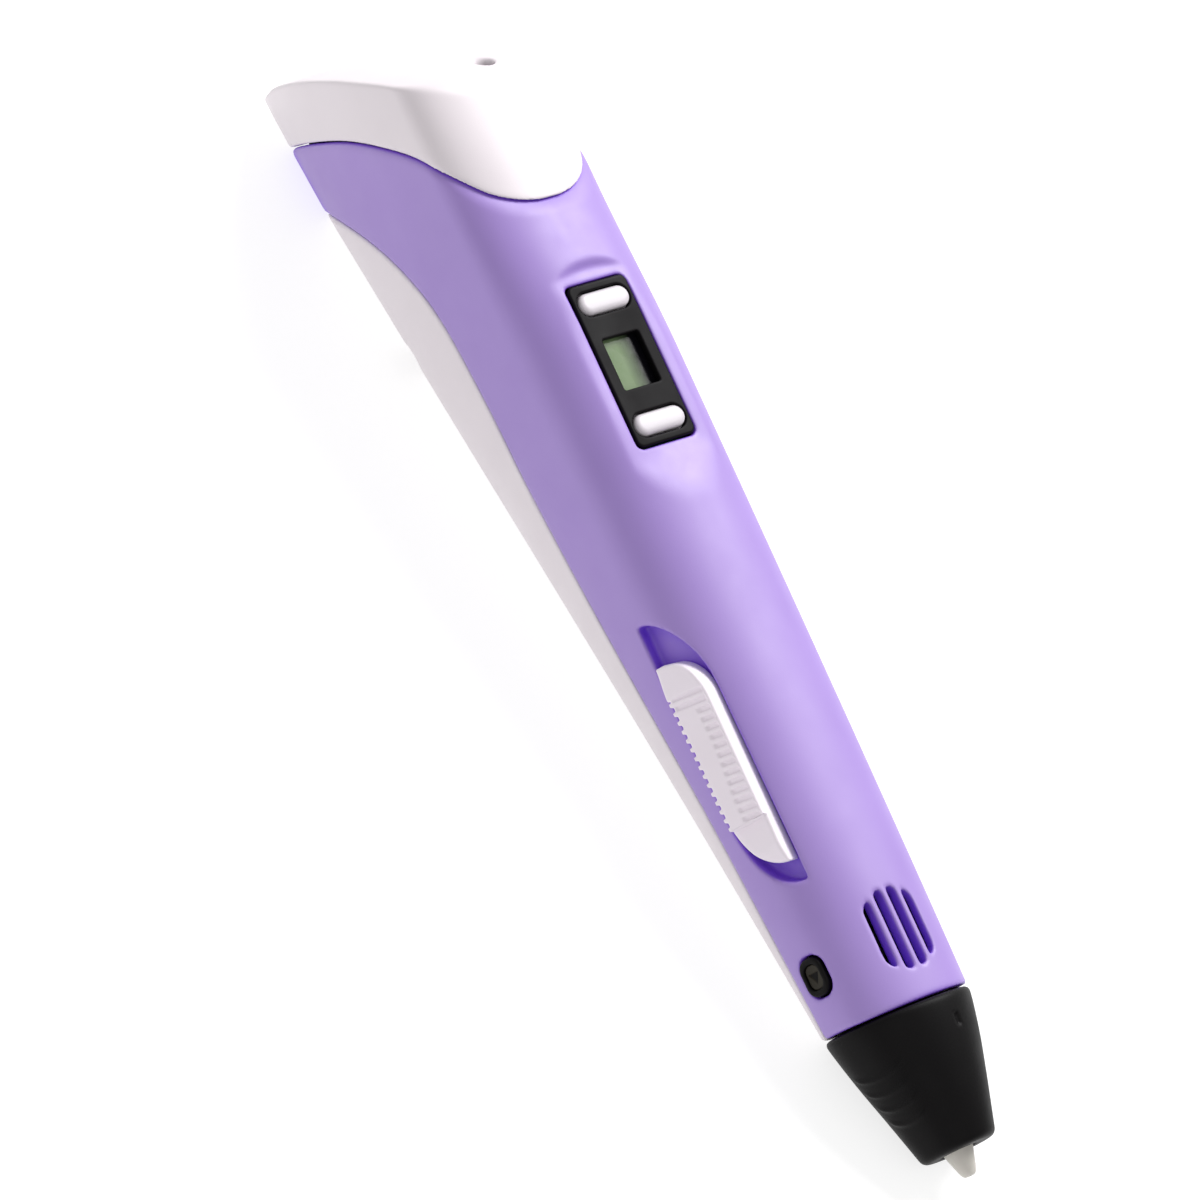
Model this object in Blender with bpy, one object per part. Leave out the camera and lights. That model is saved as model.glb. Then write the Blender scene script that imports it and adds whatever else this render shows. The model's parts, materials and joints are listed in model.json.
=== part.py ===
"""A handheld three-d printing pen, lying on its belly with its display up, in its separate pieces.

The pen is drawn in its own frame, in millimetres: u is the distance behind the nozzle's tip, y is
across, and z is the display's normal, measured from the nozzle's axis. The empty pen_frame then tips
the whole pen nose-down until its keel lies flat on the table, at z = 0, and centres it on the origin.
"""

import math

import bmesh
import bpy
from mathutils import Matrix, Vector

MM = 0.001

# Overall form
SHELL_FRONT = 24.3
NOSE_GAP = 0.3
JOINT_SLANT = -0.055
TAIL_END = 190.0
WALL = 1.5
CAP_WALL = 1.8
SEAM = 0.3
ROOF = 9.0
ROOF_DROPS = ((122, 28, 2.0), (148, 25, 0.8))
NOSE_KEEL = 9.3
KEEL_SLOPE = 0.191
KEEL_HALF = 3.0
ROOF_POWER = 2.2
FLANK_POWERS = (2.0, 2.2, 1.7)

# Side-view curves, as (u, z)
PARTING = (
    (18, -2.8), (55, -5.0), (89, -8.8), (111, -10.6), (126, -11.0), (139, -12.4),
    (148, -16.0), (156, -22.0), (163, -30.5), (166, -38.0), (167, -46.0),
)  # fmt: skip
CAP_EDGE = (
    (177.5, -46.0), (176.5, -38.0), (172.6, -25.0), (167.7, -13.3), (160.6, -2.5),
    (155.0, 2.5), (149.5, 5.4), (146.3, 7.2), (145.4, 9.0), (145.2, 14.0),
)  # fmt: skip
END_FACE = (
    (184.7, -36.6), (184.3, -31.5), (183.3, -27.0), (181.5, -21.0), (178.4, -13.0),
    (175.2, -6.4), (172.0, -0.6), (169.2, 3.4), (165.6, 6.0), (160.0, 8.8),
)  # fmt: skip
CAP_HEEL = 37.4
END_CROWN = 1.2

# Display
PANEL_U = 121.3
PANEL_LENGTH = 24.6
PANEL_WIDTH = 10.5
FACET_Z = 7.64
PANEL_TOP = 7.84
BUTTON_OFFSET = 9.3

# Speed slider: its frame lies in the flank
SLIDER_AT = Vector((-66.0, -10.9, 2.75))
SLIDER_BACK = Vector((-42.0, -0.56, 0.07)).normalized()
FLANK_TILT = math.radians(17)
POCKET_HALF_LENGTH = 20.7
POCKET_HALF_WIDTH = 3.7
POCKET_FLOOR = -2.2

# Side buttons
SIDE_BUTTON_U = 32.8
SIDE_BUTTON_Y = 11.3
SIDE_BUTTON_Z = 1.4
SIDE_BUTTON_TILT = math.radians(10)

# Vent and fan
VENT_U = 34.3
VENT_RADIUS = 5.9
SLOT_PITCH = 2.45
SLOT_WIDTH = 1.4
FAN_SIZE = 12.5

# Filament drive
DRIVE_U = 150.0
DRIVE_Y = -1.0
GEAR_RADIUS = 3.0
BEARING_RADIUS = 3.0
FILAMENT_Y = 2.8
BEARING_Y = 5.3
ARM_PIVOT = (158.5, 7.0)
SPRING_U = 143.5
TUBE_RADIUS = 1.8
TUBE_BORE = 1.1

# Power inlet and screws
JACK_Z = -27.0
JACK_BACK = 165.3
JACK_FACE = 178.5
SCREWS = (("case_screw_front", 92.0, 6.3), ("case_screw_rear", 139.6, -5.0))

# Plastics and metals: colour, roughness, metallic
FINISHES = {
    "purple_plastic": ((0.42, 0.33, 0.72), 0.45, 0.0),
    "white_plastic": ((0.88, 0.87, 0.88), 0.40, 0.0),
    "black_plastic": ((0.012, 0.011, 0.012), 0.42, 0.0),
    "panel_black": ((0.015, 0.013, 0.018), 0.20, 0.0),
    "lcd_glass": ((0.32, 0.42, 0.28), 0.12, 0.0),
    "ceramic": ((0.66, 0.64, 0.58), 0.55, 0.0),
    "steel": ((0.55, 0.55, 0.57), 0.30, 1.0),
    "brass": ((0.70, 0.52, 0.24), 0.35, 1.0),
    "ptfe": ((0.85, 0.86, 0.86), 0.50, 0.0),
    "board_green": ((0.03, 0.16, 0.07), 0.45, 0.0),
    "heater_sleeve": ((0.55, 0.42, 0.25), 0.70, 0.0),
    "lead_red": ((0.45, 0.03, 0.03), 0.50, 0.0),
}


def clear_scene():
    for obj in list(bpy.data.objects):
        bpy.data.objects.remove(obj)


def material(finish):
    found = bpy.data.materials.get(finish)
    if found:
        return found
    colour, roughness, metallic = FINISHES[finish]
    made = bpy.data.materials.new(finish)
    made.use_nodes = True
    shader = made.node_tree.nodes["Principled BSDF"]
    shader.inputs["Base Color"].default_value = (*colour, 1)
    shader.inputs["Roughness"].default_value = roughness
    shader.inputs["Metallic"].default_value = metallic
    return made


def pen(u, y, z):
    """A point of the pen's frame, in millimetres, with x along the nozzle's axis towards its tip."""
    return Vector((-u, y, z))


# ---------------------------------------------------------------- shapes


def solid(name, points, faces, finish=None, origin=None):
    """One closed mesh from points in the pen's frame; with no finish it is a cutter or a helper."""
    origin = origin or Vector()
    mesh = bpy.data.meshes.new(name)
    mesh.from_pydata([(p - origin) * MM for p in points], [], faces)
    outward = bmesh.new()
    outward.from_mesh(mesh)
    bmesh.ops.recalc_face_normals(outward, faces=outward.faces)
    outward.to_mesh(mesh)
    outward.free()
    obj = bpy.data.objects.new(name, mesh)
    bpy.context.scene.collection.objects.link(obj)
    obj.location = origin * MM
    obj.parent = PEN_FRAME
    if finish:
        mesh.materials.append(material(finish))
        mesh.shade_smooth()
        mesh.set_sharp_from_angle(angle=math.radians(35))
    else:
        obj.hide_render = True
        obj.display_type = "WIRE"
    return obj


def loft(name, rings, finish=None, origin=None):
    """A solid skinned over rings of points, with a flat cap at each end."""
    count = len(rings[0])
    points = [p for ring in rings for p in ring]
    faces = [tuple(reversed(range(count)))]
    for row in range(len(rings) - 1):
        start, following = row * count, (row + 1) * count
        for i in range(count):
            j = (i + 1) % count
            faces.append((start + i, start + j, following + j, following + i))
    faces.append(tuple(range(len(points) - count, len(points))))
    return solid(name, points, faces, finish, origin)


def frame_on(axis):
    """Two unit vectors across the axis that make a right-handed set with it."""
    axis = axis.normalized()
    side = Vector((0, 1, 0)) if abs(axis.y) < 0.7 else Vector((0, 0, 1))
    first = side.cross(axis).normalized()
    return first, axis.cross(first)


def circle(centre, axis, radius, sides):
    first, second = frame_on(axis)
    turns = [math.tau * i / sides for i in range(sides)]
    return [centre + radius * (math.cos(t) * first + math.sin(t) * second) for t in turns]


def turned(name, start, axis, profile, finish=None, sides=24, origin=None):
    """A solid of revolution: profile holds (distance along the axis, radius)."""
    axis = axis.normalized()
    rings = [circle(start + along * axis, axis, radius, sides) for along, radius in profile]
    return loft(name, rings, finish, origin)


def turned_tube(name, start, axis, profile, finish, sides=24, origin=None):
    """A hollow solid of revolution: profile is a closed loop of (distance along the axis, radius)."""
    axis = axis.normalized()
    rings = [circle(start + along * axis, axis, radius, sides) for along, radius in profile]
    return loop_of_rings(name, rings, finish, origin)


def loop_of_rings(name, rings, finish, origin=None):
    """Rings joined into a closed loop, as on a tube with an outer and an inner wall."""
    count = len(rings[0])
    points = [p for ring in rings for p in ring]
    faces = []
    for row in range(len(rings)):
        start, following = row * count, ((row + 1) % len(rings)) * count
        for i in range(count):
            j = (i + 1) % count
            faces.append((start + i, start + j, following + j, following + i))
    return solid(name, points, faces, finish, origin)


def rod(name, start, end, radius, finish=None, sides=24, origin=None):
    profile = ((0, radius), ((end - start).length, radius))
    return turned(name, start, end - start, profile, finish, sides, origin)


def block(name, u, y, z, finish=None, origin=None):
    """A box between two values of u, of y and of z."""
    ring = [(u[1], y[0]), (u[0], y[0]), (u[0], y[1]), (u[1], y[1])]
    rings = [[pen(a, b, height) for a, b in ring] for height in z]
    return loft(name, rings, finish, origin)


def plate(name, outline, across, low, high, finish=None, origin=None):
    """An outline of 2-D points, anticlockwise, given depth: across turns (a, b, height) into a point."""
    rings = [[across(a, b, height) for a, b in outline] for height in (low, high)]
    return loft(name, rings, finish, origin)


def upright_at(u):
    """The frame of a plate that lies across the display's normal: a runs towards the nose from u."""

    def place(a, b, height):
        return Vector((a - u, b, height))

    return place


def smooth_through(points, steps=4):
    """A Catmull-Rom curve through a few design points, with steps stretches between each two."""
    points = [Vector(p) for p in points]
    padded = [2 * points[0] - points[1], *points, 2 * points[-1] - points[-2]]
    curve = []
    for before, start, end, after in zip(padded, padded[1:], padded[2:], padded[3:]):
        for i in range(steps):
            t = i / steps
            bend = 2 * before - 5 * start + 4 * end - after
            twist = 3 * start - before - 3 * end + after
            curve.append(start + 0.5 * (t * (end - before) + t * t * bend + t**3 * twist))
    return [*curve, points[-1]]


def offset(curve, distance):
    """A 2-D curve moved to the left of the way it runs."""
    moved = []
    for i, point in enumerate(curve):
        along = (curve[min(i + 1, len(curve) - 1)] - curve[max(i - 1, 0)]).normalized()
        moved.append(point + distance * Vector((-along.y, along.x)))
    return moved


def stadium(length, width, steps=6):
    """A slot outline about the origin, long along its second axis."""
    radius, reach = width / 2, (length - width) / 2
    outline = []
    for side in (1, -1):
        for i in range(steps + 1):
            turn = math.pi * i / steps
            outline.append((side * radius * math.cos(turn), side * (reach + radius * math.sin(turn))))
    return outline


def rounded(length, width, radius, steps=3):
    """A rectangle with round corners about the origin, length along its first axis."""
    outline = []
    corners = ((1, 1), (-1, 1), (-1, -1), (1, -1))
    for quarter, (a, b) in enumerate(corners):
        for i in range(steps + 1):
            turn = math.pi / 2 * (quarter + i / steps)
            centre_a = a * (length / 2 - radius)
            centre_b = b * (width / 2 - radius)
            outline.append((centre_a + radius * math.cos(turn), centre_b + radius * math.sin(turn)))
    return outline


def combine(target, tool, operation):
    modifier = target.modifiers.new(f"{operation.title()} {tool.name}", "BOOLEAN")
    modifier.operation = operation
    modifier.solver = "EXACT"
    modifier.object = tool
    return target


def cut(target, *tools):
    for tool in tools:
        combine(target, tool, "DIFFERENCE")


def join(target, *tools):
    for tool in tools:
        combine(target, tool, "UNION")


# ---------------------------------------------------------------- the casing's form


def half_width(u):
    return 11.2 + 1.7 * (1 - math.exp(-(u - SHELL_FRONT) / 60))


def ease(t):
    """A soft step from 0 to 1."""
    t = min(max(t, 0), 1)
    return t * t * (3 - 2 * t)


def roof(u):
    return ROOF - sum(drop * ease((u - start) / run) for start, run, drop in ROOF_DROPS)


def flank_power(u):
    front, middle, tail = FLANK_POWERS
    return front + (middle - front) * ease((u - 60) / 80) + (tail - middle) * ease((u - 160) / 26)


def keel(u):
    return NOSE_KEEL + KEEL_SLOPE * (u - SHELL_FRONT)


def section(u, inset=0.0, roof_steps=14, side_steps=7):
    """The casing across u: a rounded roof, and flanks like half an egg, cut off by the flat keel."""
    width, top, depth = half_width(u) - inset, roof(u) - inset, keel(u) - inset
    keel_half = KEEL_HALF - 0.4 * inset
    power = flank_power(u)
    belly = depth / (1 - (keel_half / width) ** power) ** (1 / power)
    stop = math.acos((keel_half / width) ** (power / 2))
    flank_turns = [stop * i / side_steps for i in range(1, side_steps + 1)]
    bend = 2 / power
    flanks = [(width * math.cos(t) ** bend, -belly * math.sin(t) ** bend) for t in flank_turns]
    ring = []
    for i in range(roof_steps + 1):
        turn = math.pi * i / roof_steps
        across, up = math.cos(turn), math.sin(turn)
        y = math.copysign(abs(across) ** (2 / ROOF_POWER), across) * width
        ring.append(pen(u, y, up ** (2 / ROOF_POWER) * top if up > 1e-9 else 0.0))
    ring += [pen(u, -y, z) for y, z in flanks]
    ring += [pen(u, y, z) for y, z in reversed(flanks)]
    return ring


def casing(name, inset, first, last, step, finish=None):
    count = round((last - first) / step)
    stations = [last + (first - last) * i / count for i in range(count + 1)]
    return loft(name, [section(u, inset) for u in stations], finish)


def side_region(name, outline, crowned_points=None):
    """A side-view outline of (u, z), given depth across the pen; the points with an index in the range
    crowned_points lie on the end face, which bows out behind the middle."""
    slices = (-20, 20) if crowned_points is None else (-20, -12, -8, -4, 0, 4, 8, 12, 20)
    rings = []
    for y in slices:
        bow = END_CROWN * min(abs(y) / 12.5, 1.2) ** 2
        ring = []
        for i, (u, z) in enumerate(outline):
            crowned = crowned_points is not None and i in crowned_points
            ring.append(pen(u - bow if crowned else u, y, z))
        rings.append(ring)
    return loft(name, rings)


def front_edge(z):
    return SHELL_FRONT + NOSE_GAP + JOINT_SLANT * z


def casing_regions():
    """The three side-view pieces that the casing comes apart into, with a seam between them."""
    far = 60
    parting = smooth_through(PARTING)
    edge = smooth_through(CAP_EDGE)
    upper_line = trimmed_at_front(offset(parting, SEAM / 2))
    lower_line = trimmed_at_front(offset(parting, -SEAM / 2))
    fore_edge = offset(edge, SEAM / 2)
    aft_edge = offset(edge, -SEAM / 2)
    upper = [*upper_line, (upper_line[-1].x, -far), (fore_edge[0].x, -far), *fore_edge]
    upper += [(fore_edge[-1].x, far), (front_edge(far), far)]
    lower = [(front_edge(-far), -far), (lower_line[-1].x, -far), *reversed(lower_line)]
    heel = [(aft_edge[0].x, -CAP_HEEL), (END_FACE[0][0] - 1.2, -CAP_HEEL)]
    face = smooth_through(END_FACE)
    above = [p for p in aft_edge if p.y > -CAP_HEEL]
    cap = [*heel, *face, (face[-1].x, far), (aft_edge[-1].x, far), *reversed(above)]
    crowned = range(1, len(heel) + len(face) + 1)
    return (
        side_region("upper_region", upper),
        side_region("lower_region", lower),
        side_region("cap_region", cap, crowned),
    )


def trimmed_at_front(line):
    """A parting line that starts on the slanted front joint."""
    kept = [p for p in line if p.x > front_edge(p.y)]
    first = kept[0]
    before = line[line.index(first) - 1]
    share = (front_edge(before.y) - before.x) / (first.x - before.x)
    return [before + share * (first - before), *kept]


def casing_hollow():
    """What the casing leaves free inside, less the thick floors under the display and the slider."""
    hollow = casing("casing_hollow", WALL, 18.0, 188.0, 8.5)
    face = [(u - CAP_WALL, z) for u, z in smooth_through(END_FACE)]
    floor = CAP_HEEL - CAP_WALL
    below = [(10, -60), (174.0, -60), (174.5, -floor), (face[0][0] - 0.6, -floor)]
    outline = [*below, *face, (face[-1][0], 60), (10, 60)]
    inside = side_region("inner_region", outline, range(3, 4 + len(face)))
    combine(hollow, inside, "INTERSECT")
    display_floor = block("display_floor", (99.0, 139.2), (-7.6, 7.6), (6.1, 12.0))
    pocket_floor = plate("pocket_floor", leaf(1.3, 1.3), flank, POCKET_FLOOR - 1.2, 6.0)
    side_pads = [side_button_pad(side) for side in (-1, 1)]
    cut(hollow, display_floor, pocket_floor, *side_pads)
    return hollow


# ---------------------------------------------------------------- casing pieces


def flank(a, b, height):
    """The speed slider's frame: a runs towards the tail, b up the flank and height out of it."""
    out = Vector((0, -math.cos(FLANK_TILT), math.sin(FLANK_TILT)))
    out = (out - out.dot(SLIDER_BACK) * SLIDER_BACK).normalized()
    up = SLIDER_BACK.cross(out)
    return SLIDER_AT + a * SLIDER_BACK + b * up + height * out


def leaf(more_length=0.0, more_width=0.0, steps=7):
    """The slider pocket's outline: straight sides, and at each end one corner swept off in an arc."""
    reach, half = POCKET_HALF_LENGTH + more_length, POCKET_HALF_WIDTH + more_width
    sweep = 11.8
    outline = []
    for side in (1, -1):
        for i in range(steps + 1):
            turn = math.pi / 2 * i / steps
            a = reach - sweep + sweep * math.cos(turn)
            b = -half + 2 * half * math.sin(turn)
            outline.append((side * a, side * b))
    return outline


def side_button_frame(side):
    """The frame of a button in a flank: a runs towards the nose, b up and height out."""
    out = Vector((0, side * math.cos(SIDE_BUTTON_TILT), math.sin(SIDE_BUTTON_TILT)))
    ahead = Vector((1, 0, 0))
    up = out.cross(ahead) if side > 0 else ahead.cross(out)
    centre = pen(SIDE_BUTTON_U, side * SIDE_BUTTON_Y, SIDE_BUTTON_Z)

    def place(a, b, height):
        return centre + side * a * ahead + b * up * (1 if up.z > 0 else -1) + height * out

    return place


def side_button_pad(side):
    return plate(f"side_pad{side}", rounded(8.4, 7.4, 2.0), side_button_frame(side), -1.7, 3.0)


def oval(length, width):
    """A button's outline: a rectangle whose corners are nearly half its width."""
    return rounded(length, width, min(length, width) * 0.42, 4)


def make_upper_shell(region, hollow, core):
    shell = casing("upper_shell", 0.0, 21.0, TAIL_END, 7.7, "purple_plastic")
    combine(shell, region, "INTERSECT")
    cut(shell, hollow)
    for name, u, y in SCREWS:
        post = rod(f"post_{name}", pen(u, y, -3.0), pen(u, y, ROOF), 2.2, None, 14)
        pilot = rod(f"pilot_{name}", pen(u, y, -4.0), pen(u, y, 4.5), 1.1, None, 10)
        combine(post, core, "INTERSECT")
        join(shell, post)
        cut(shell, pilot)
    facet_side = [(137, FACET_Z), (106, FACET_Z), (103.2, 8.05), (101, 9.4), (101, 14), (137, 14)]
    rings = [[pen(u, y, z) for u, z in facet_side] for y in (6.6, -6.6)]
    facet = loft("display_facet", rings)
    opening_outline = rounded(PANEL_LENGTH + 0.6, PANEL_WIDTH + 0.6, 1.2)
    opening = plate("panel_opening", opening_outline, upright_at(PANEL_U), 4.0, 12.0)
    pocket = plate("slider_pocket", leaf(), flank, POCKET_FLOOR, 8.0)
    slot_outline = [(a + 1.8, b) for a, b in rounded(8.6, 2.2, 1.0)]
    slot = plate("lever_slot", slot_outline, flank, -6.0, 2.0)
    cut(shell, facet, opening, pocket, slot)
    for i in range(4):
        y = (i - 1.5) * SLOT_PITCH
        length = 2 * math.sqrt(VENT_RADIUS**2 - y**2)
        outline = [(b, a + y) for a, b in stadium(length, SLOT_WIDTH, 3)]
        cut(shell, plate(f"vent_slot_{i}", outline, upright_at(VENT_U), 5.0, 12.0))
    for side in (-1, 1):
        cut(shell, plate(f"side_opening{side}", oval(6.1, 4.7), side_button_frame(side), -4.0, 3.0))
    return shell


def make_lower_shell(region, hollow, core):
    shell = casing("lower_shell", 0.0, 21.0, 172.0, 7.55, "white_plastic")
    combine(shell, region, "INTERSECT")
    cut(shell, hollow)
    for name, u, y in SCREWS:
        boss = rod(f"boss_{name}", pen(u, y, -keel(u)), pen(u, y, -3.4), 2.9, None, 16)
        combine(boss, core, "INTERSECT")
        well = rod(f"well_{name}", pen(u, y, -60), pen(u, y, -6.4), 2.1, None, 16)
        hole = rod(f"hole_{name}", pen(u, y, -10), pen(u, y, 0), 1.1, None, 10)
        join(shell, boss)
        cut(shell, well, hole)
    return shell


def make_tail_cap(region, hollow):
    cap = casing("tail_cap", 0.0, 137.0, TAIL_END, 7.6, "white_plastic")
    combine(cap, region, "INTERSECT")
    cut(cap, hollow)
    inlet = rod("filament_inlet", *inlet_line(160.0, 190.0), 1.7, None, 14)
    recess = rod("plug_recess", pen(JACK_FACE, 0, JACK_Z), pen(200.0, 0, JACK_Z), 4.4, None, 24)
    cut(cap, inlet, recess)
    return cap


def nose_section(u, width, top, bottom, slant=0.0, steps=28):
    ring = []
    for i in range(steps):
        turn = math.tau * i / steps
        z = math.sin(turn) * (top if math.sin(turn) > 0 else bottom)
        ring.append(pen(u + slant * z, width * math.cos(turn), z))
    return ring


def make_nose_cone():
    """The black cone: round at its front edge, growing to the casing's section, with a collar that
    plugs into the shells."""
    joint = (half_width(SHELL_FRONT) + 0.1, 10.0, 9.2)
    collar = (half_width(SHELL_FRONT) - WALL - 0.6, 7.2, 7.1)
    outer = [
        (SHELL_FRONT + 3.3, *collar, 0.0),
        (SHELL_FRONT + 0.1, *collar, JOINT_SLANT),
        (SHELL_FRONT, *joint, JOINT_SLANT),
        (21.8, 10.8, 9.95, 8.7, 0.0),
        (17.0, 9.5, 9.25, 7.8, 0.0),
        (12.0, 7.9, 8.2, 6.8, 0.0),
        (8.0, 6.65, 7.15, 6.0, 0.0),
        (4.5, 5.55, 6.1, 5.2, 0.0),
        (3.7, 4.85, 5.4, 4.6, 0.0),
    ]
    inner = [
        (SHELL_FRONT + 5, *(r - 1.2 for r in collar), 0.0),
        (20.0, 8.0, 6.6, 6.2, 0.0),
        (12.0, 6.0, 5.7, 5.3, 0.0),
        (6.2, 4.4, 4.4, 4.1, 0.0),
    ]
    cone = loft("nose_cone", [nose_section(*row) for row in outer], "black_plastic")
    hollow = loft("nose_hollow", [nose_section(*row) for row in inner])
    bore = rod("nose_bore", pen(12, 0, 0), pen(0, 0, 0), 2.6, None, 20)
    cut(cone, hollow, bore)
    return cone


# ---------------------------------------------------------------- hot end and filament path


def make_hot_end():
    ahead = Vector((1, 0, 0))
    cone = ((0, 2.3), (6.5, 2.3), (9.8, 1.25), (10.4, 0.95), (10.6, 0.6))
    nozzle = (*cone, (10.6, 0.4), (7.4, 0.4), (6.4, 1.05), (0, 1.05))
    turned_tube("ceramic_nozzle", pen(10.6, 0, 0), ahead, nozzle, "ceramic", 20)
    barrel = ((0, 2.6), (12.7, 2.6), (12.7, 1.05), (0, 1.05))
    turned_tube("heater_barrel", pen(23.6, 0, 0), ahead, barrel, "steel", 16)
    sleeve = ((0, 3.9), (10.4, 3.9), (10.4, 2.9), (0, 2.9))
    turned_tube("heater_sleeve", pen(22.4, 0, 0), ahead, sleeve, "heater_sleeve", 16)
    coupler = ((0, 2.9), (1.4, 2.9), (1.4, 3.3), (3.4, 3.3), (3.4, 1.2), (0, 1.2))
    turned_tube("tube_coupler", pen(27.3, 0, 0), ahead, coupler, "brass", 16)


def tube_along(name, route, radius, bore, finish, sides=10):
    """A hollow tube whose middle line is a list of points."""
    outer, inner = [], []
    for i, point in enumerate(route):
        along = route[min(i + 1, len(route) - 1)] - route[max(i - 1, 0)]
        outer.append(circle(point, along, radius, sides))
        inner.append(circle(point, along, bore, sides))
    return loop_of_rings(name, outer + inner[::-1], finish)


def inlet_line(first, last):
    """Two points on the inlet's axis, which rises gently from the drive gear to the end face."""
    rise = 0.09
    return [pen(u, FILAMENT_Y, rise * (u - DRIVE_U)) for u in (first, last)]


def make_filament_path():
    route = []
    for i in range(13):
        u = 146.2 + (27.7 - 146.2) * i / 12
        t = min(max((u - 55) / 65, 0), 1)
        route.append(pen(u, FILAMENT_Y * t * t * (3 - 2 * t), 0))
    tube_along("feed_tube", route, TUBE_RADIUS, TUBE_BORE, "ptfe")
    tube_along("inlet_tube", inlet_line(165.4, 154.0), TUBE_RADIUS, TUBE_BORE, "ptfe", 14)


def make_geared_motor():
    """The motor stands in the deep tail, its gearbox on top and its shaft up beside the filament."""
    can_outline = []
    for i in range(24):
        turn = math.tau * i / 24
        b = min(max(6.0 * math.sin(turn), -5.0), 5.0)
        can_outline.append((6.0 * math.cos(turn), b + DRIVE_Y))
    can_outline = [p for i, p in enumerate(can_outline) if p != can_outline[i - 1]]
    plate("motor_can", can_outline, upright_at(DRIVE_U), -25.3, -12.9, "steel")
    gearbox_outline = [(a, b + DRIVE_Y) for a, b in rounded(12.0, 10.0, 1.0)]
    gearbox = plate("gearbox", gearbox_outline, upright_at(DRIVE_U), -12.6, -4.6, "brass")
    well = rod("shaft_bearing", pen(DRIVE_U, DRIVE_Y, -9.0), pen(DRIVE_U, DRIVE_Y, 0), 1.6)
    cut(gearbox, well)


def make_drive_gear():
    on_axis = pen(DRIVE_U, DRIVE_Y, 0)
    low, high = pen(DRIVE_U, DRIVE_Y, -8.7), pen(DRIVE_U, DRIVE_Y, 2.8)
    rod("drive_shaft", low, high, 1.5, "steel", 24, on_axis)
    teeth, root = 22, GEAR_RADIUS - 0.35
    outline = []
    for i in range(teeth):
        for shift, radius in ((0.0, GEAR_RADIUS), (0.32, GEAR_RADIUS), (0.5, root), (0.82, root)):
            turn = math.tau * (i + shift) / teeth
            outline.append((radius * math.cos(turn), radius * math.sin(turn) + DRIVE_Y))
    gear = plate("drive_gear", outline, upright_at(DRIVE_U), -2.4, 2.4, "brass", on_axis)
    bore = rod("gear_bore", pen(DRIVE_U, DRIVE_Y, -4), pen(DRIVE_U, DRIVE_Y, 4), 1.8)
    cut(gear, bore)


def make_motor_bracket():
    """The plate on the gearbox, with the idler's pin and the tab that the spring pushes against."""
    outline = ((-11.6, -6.2), (7.2, -6.2), (7.2, 8.6), (-10.6, 8.6), (-11.6, 6.0))
    bracket = plate("motor_bracket", outline, upright_at(DRIVE_U), -4.2, -3.3, "steel")
    pin = rod("idler_pin", pen(*ARM_PIVOT, -4.0), pen(*ARM_PIVOT, 3.4), 0.92)
    tab = block("spring_tab", (SPRING_U - 0.9, SPRING_U + 1.6), (9.9, 10.5), (-4.0, 1.8))
    foot = block("spring_tab_foot", (SPRING_U - 0.8, SPRING_U + 1.5), (8.2, 10.4), (-4.1, -3.4))
    opening = rod("bracket_opening", pen(DRIVE_U, DRIVE_Y, -8), pen(DRIVE_U, DRIVE_Y, 8), 2.2)
    join(bracket, pin, foot, tab)
    cut(bracket, opening)


def make_idler():
    """The spring-loaded arm that presses its bearing, and with it the filament, against the gear."""
    pivot = pen(*ARM_PIVOT, 0)
    near_side = ((-10.2, 6.0), (-8.5, 5.1), (0.0, 3.9), (7.8, 4.0))
    far_side = ((7.8, 6.4), (0.0, 7.2), (-8.5, 8.9), (-10.2, 8.0))
    arm = plate("idler_arm", near_side + far_side, upright_at(DRIVE_U), 1.9, 2.9, "black_plastic", pivot)
    hub = rod("idler_hub", pen(*ARM_PIVOT, -2.9), pen(*ARM_PIVOT, 2.7), 1.85, None, 20)
    stub = rod("bearing_stub", pen(DRIVE_U, BEARING_Y, -1.6), pen(DRIVE_U, BEARING_Y, 2.2), 0.8)
    heel = block("spring_seat", (SPRING_U - 1.3, SPRING_U + 1.3), (5.6, 6.3), (-1.4, 2.2))
    hole = rod("idler_hole", pen(*ARM_PIVOT, -6), pen(*ARM_PIVOT, 6), 1.0)
    join(arm, hub, stub, heel)
    cut(arm, hole)
    centre = pen(DRIVE_U, BEARING_Y, -1.5)
    ring = ((0, BEARING_RADIUS), (3.0, BEARING_RADIUS), (3.0, 0.88), (0, 0.88))
    turned_tube("idler_bearing", centre, Vector((0, 0, 1)), ring, "steel", 32, centre)
    make_idler_spring()


def make_idler_spring():
    turns, wire, radius = 4.0, 0.22, 1.15
    start, end = 6.7, 9.3
    steps = 12 * int(turns)
    route = []
    for i in range(steps + 1):
        turn = math.tau * turns * i / steps
        y = start + (end - start) * i / steps
        route.append(pen(SPRING_U + radius * math.cos(turn), y, radius * math.sin(turn) + 0.2))
    rings = []
    for i, point in enumerate(route):
        along = route[min(i + 1, steps)] - route[max(i - 1, 0)]
        outward = (point - pen(SPRING_U, point.y, 0.2)).normalized()
        second = along.normalized().cross(outward)
        corners = [math.tau * k / 6 for k in range(6)]
        rings.append([point + wire * (math.cos(c) * outward + math.sin(c) * second) for c in corners])
    loft("idler_spring", rings, "steel")


# ---------------------------------------------------------------- controls


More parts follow.
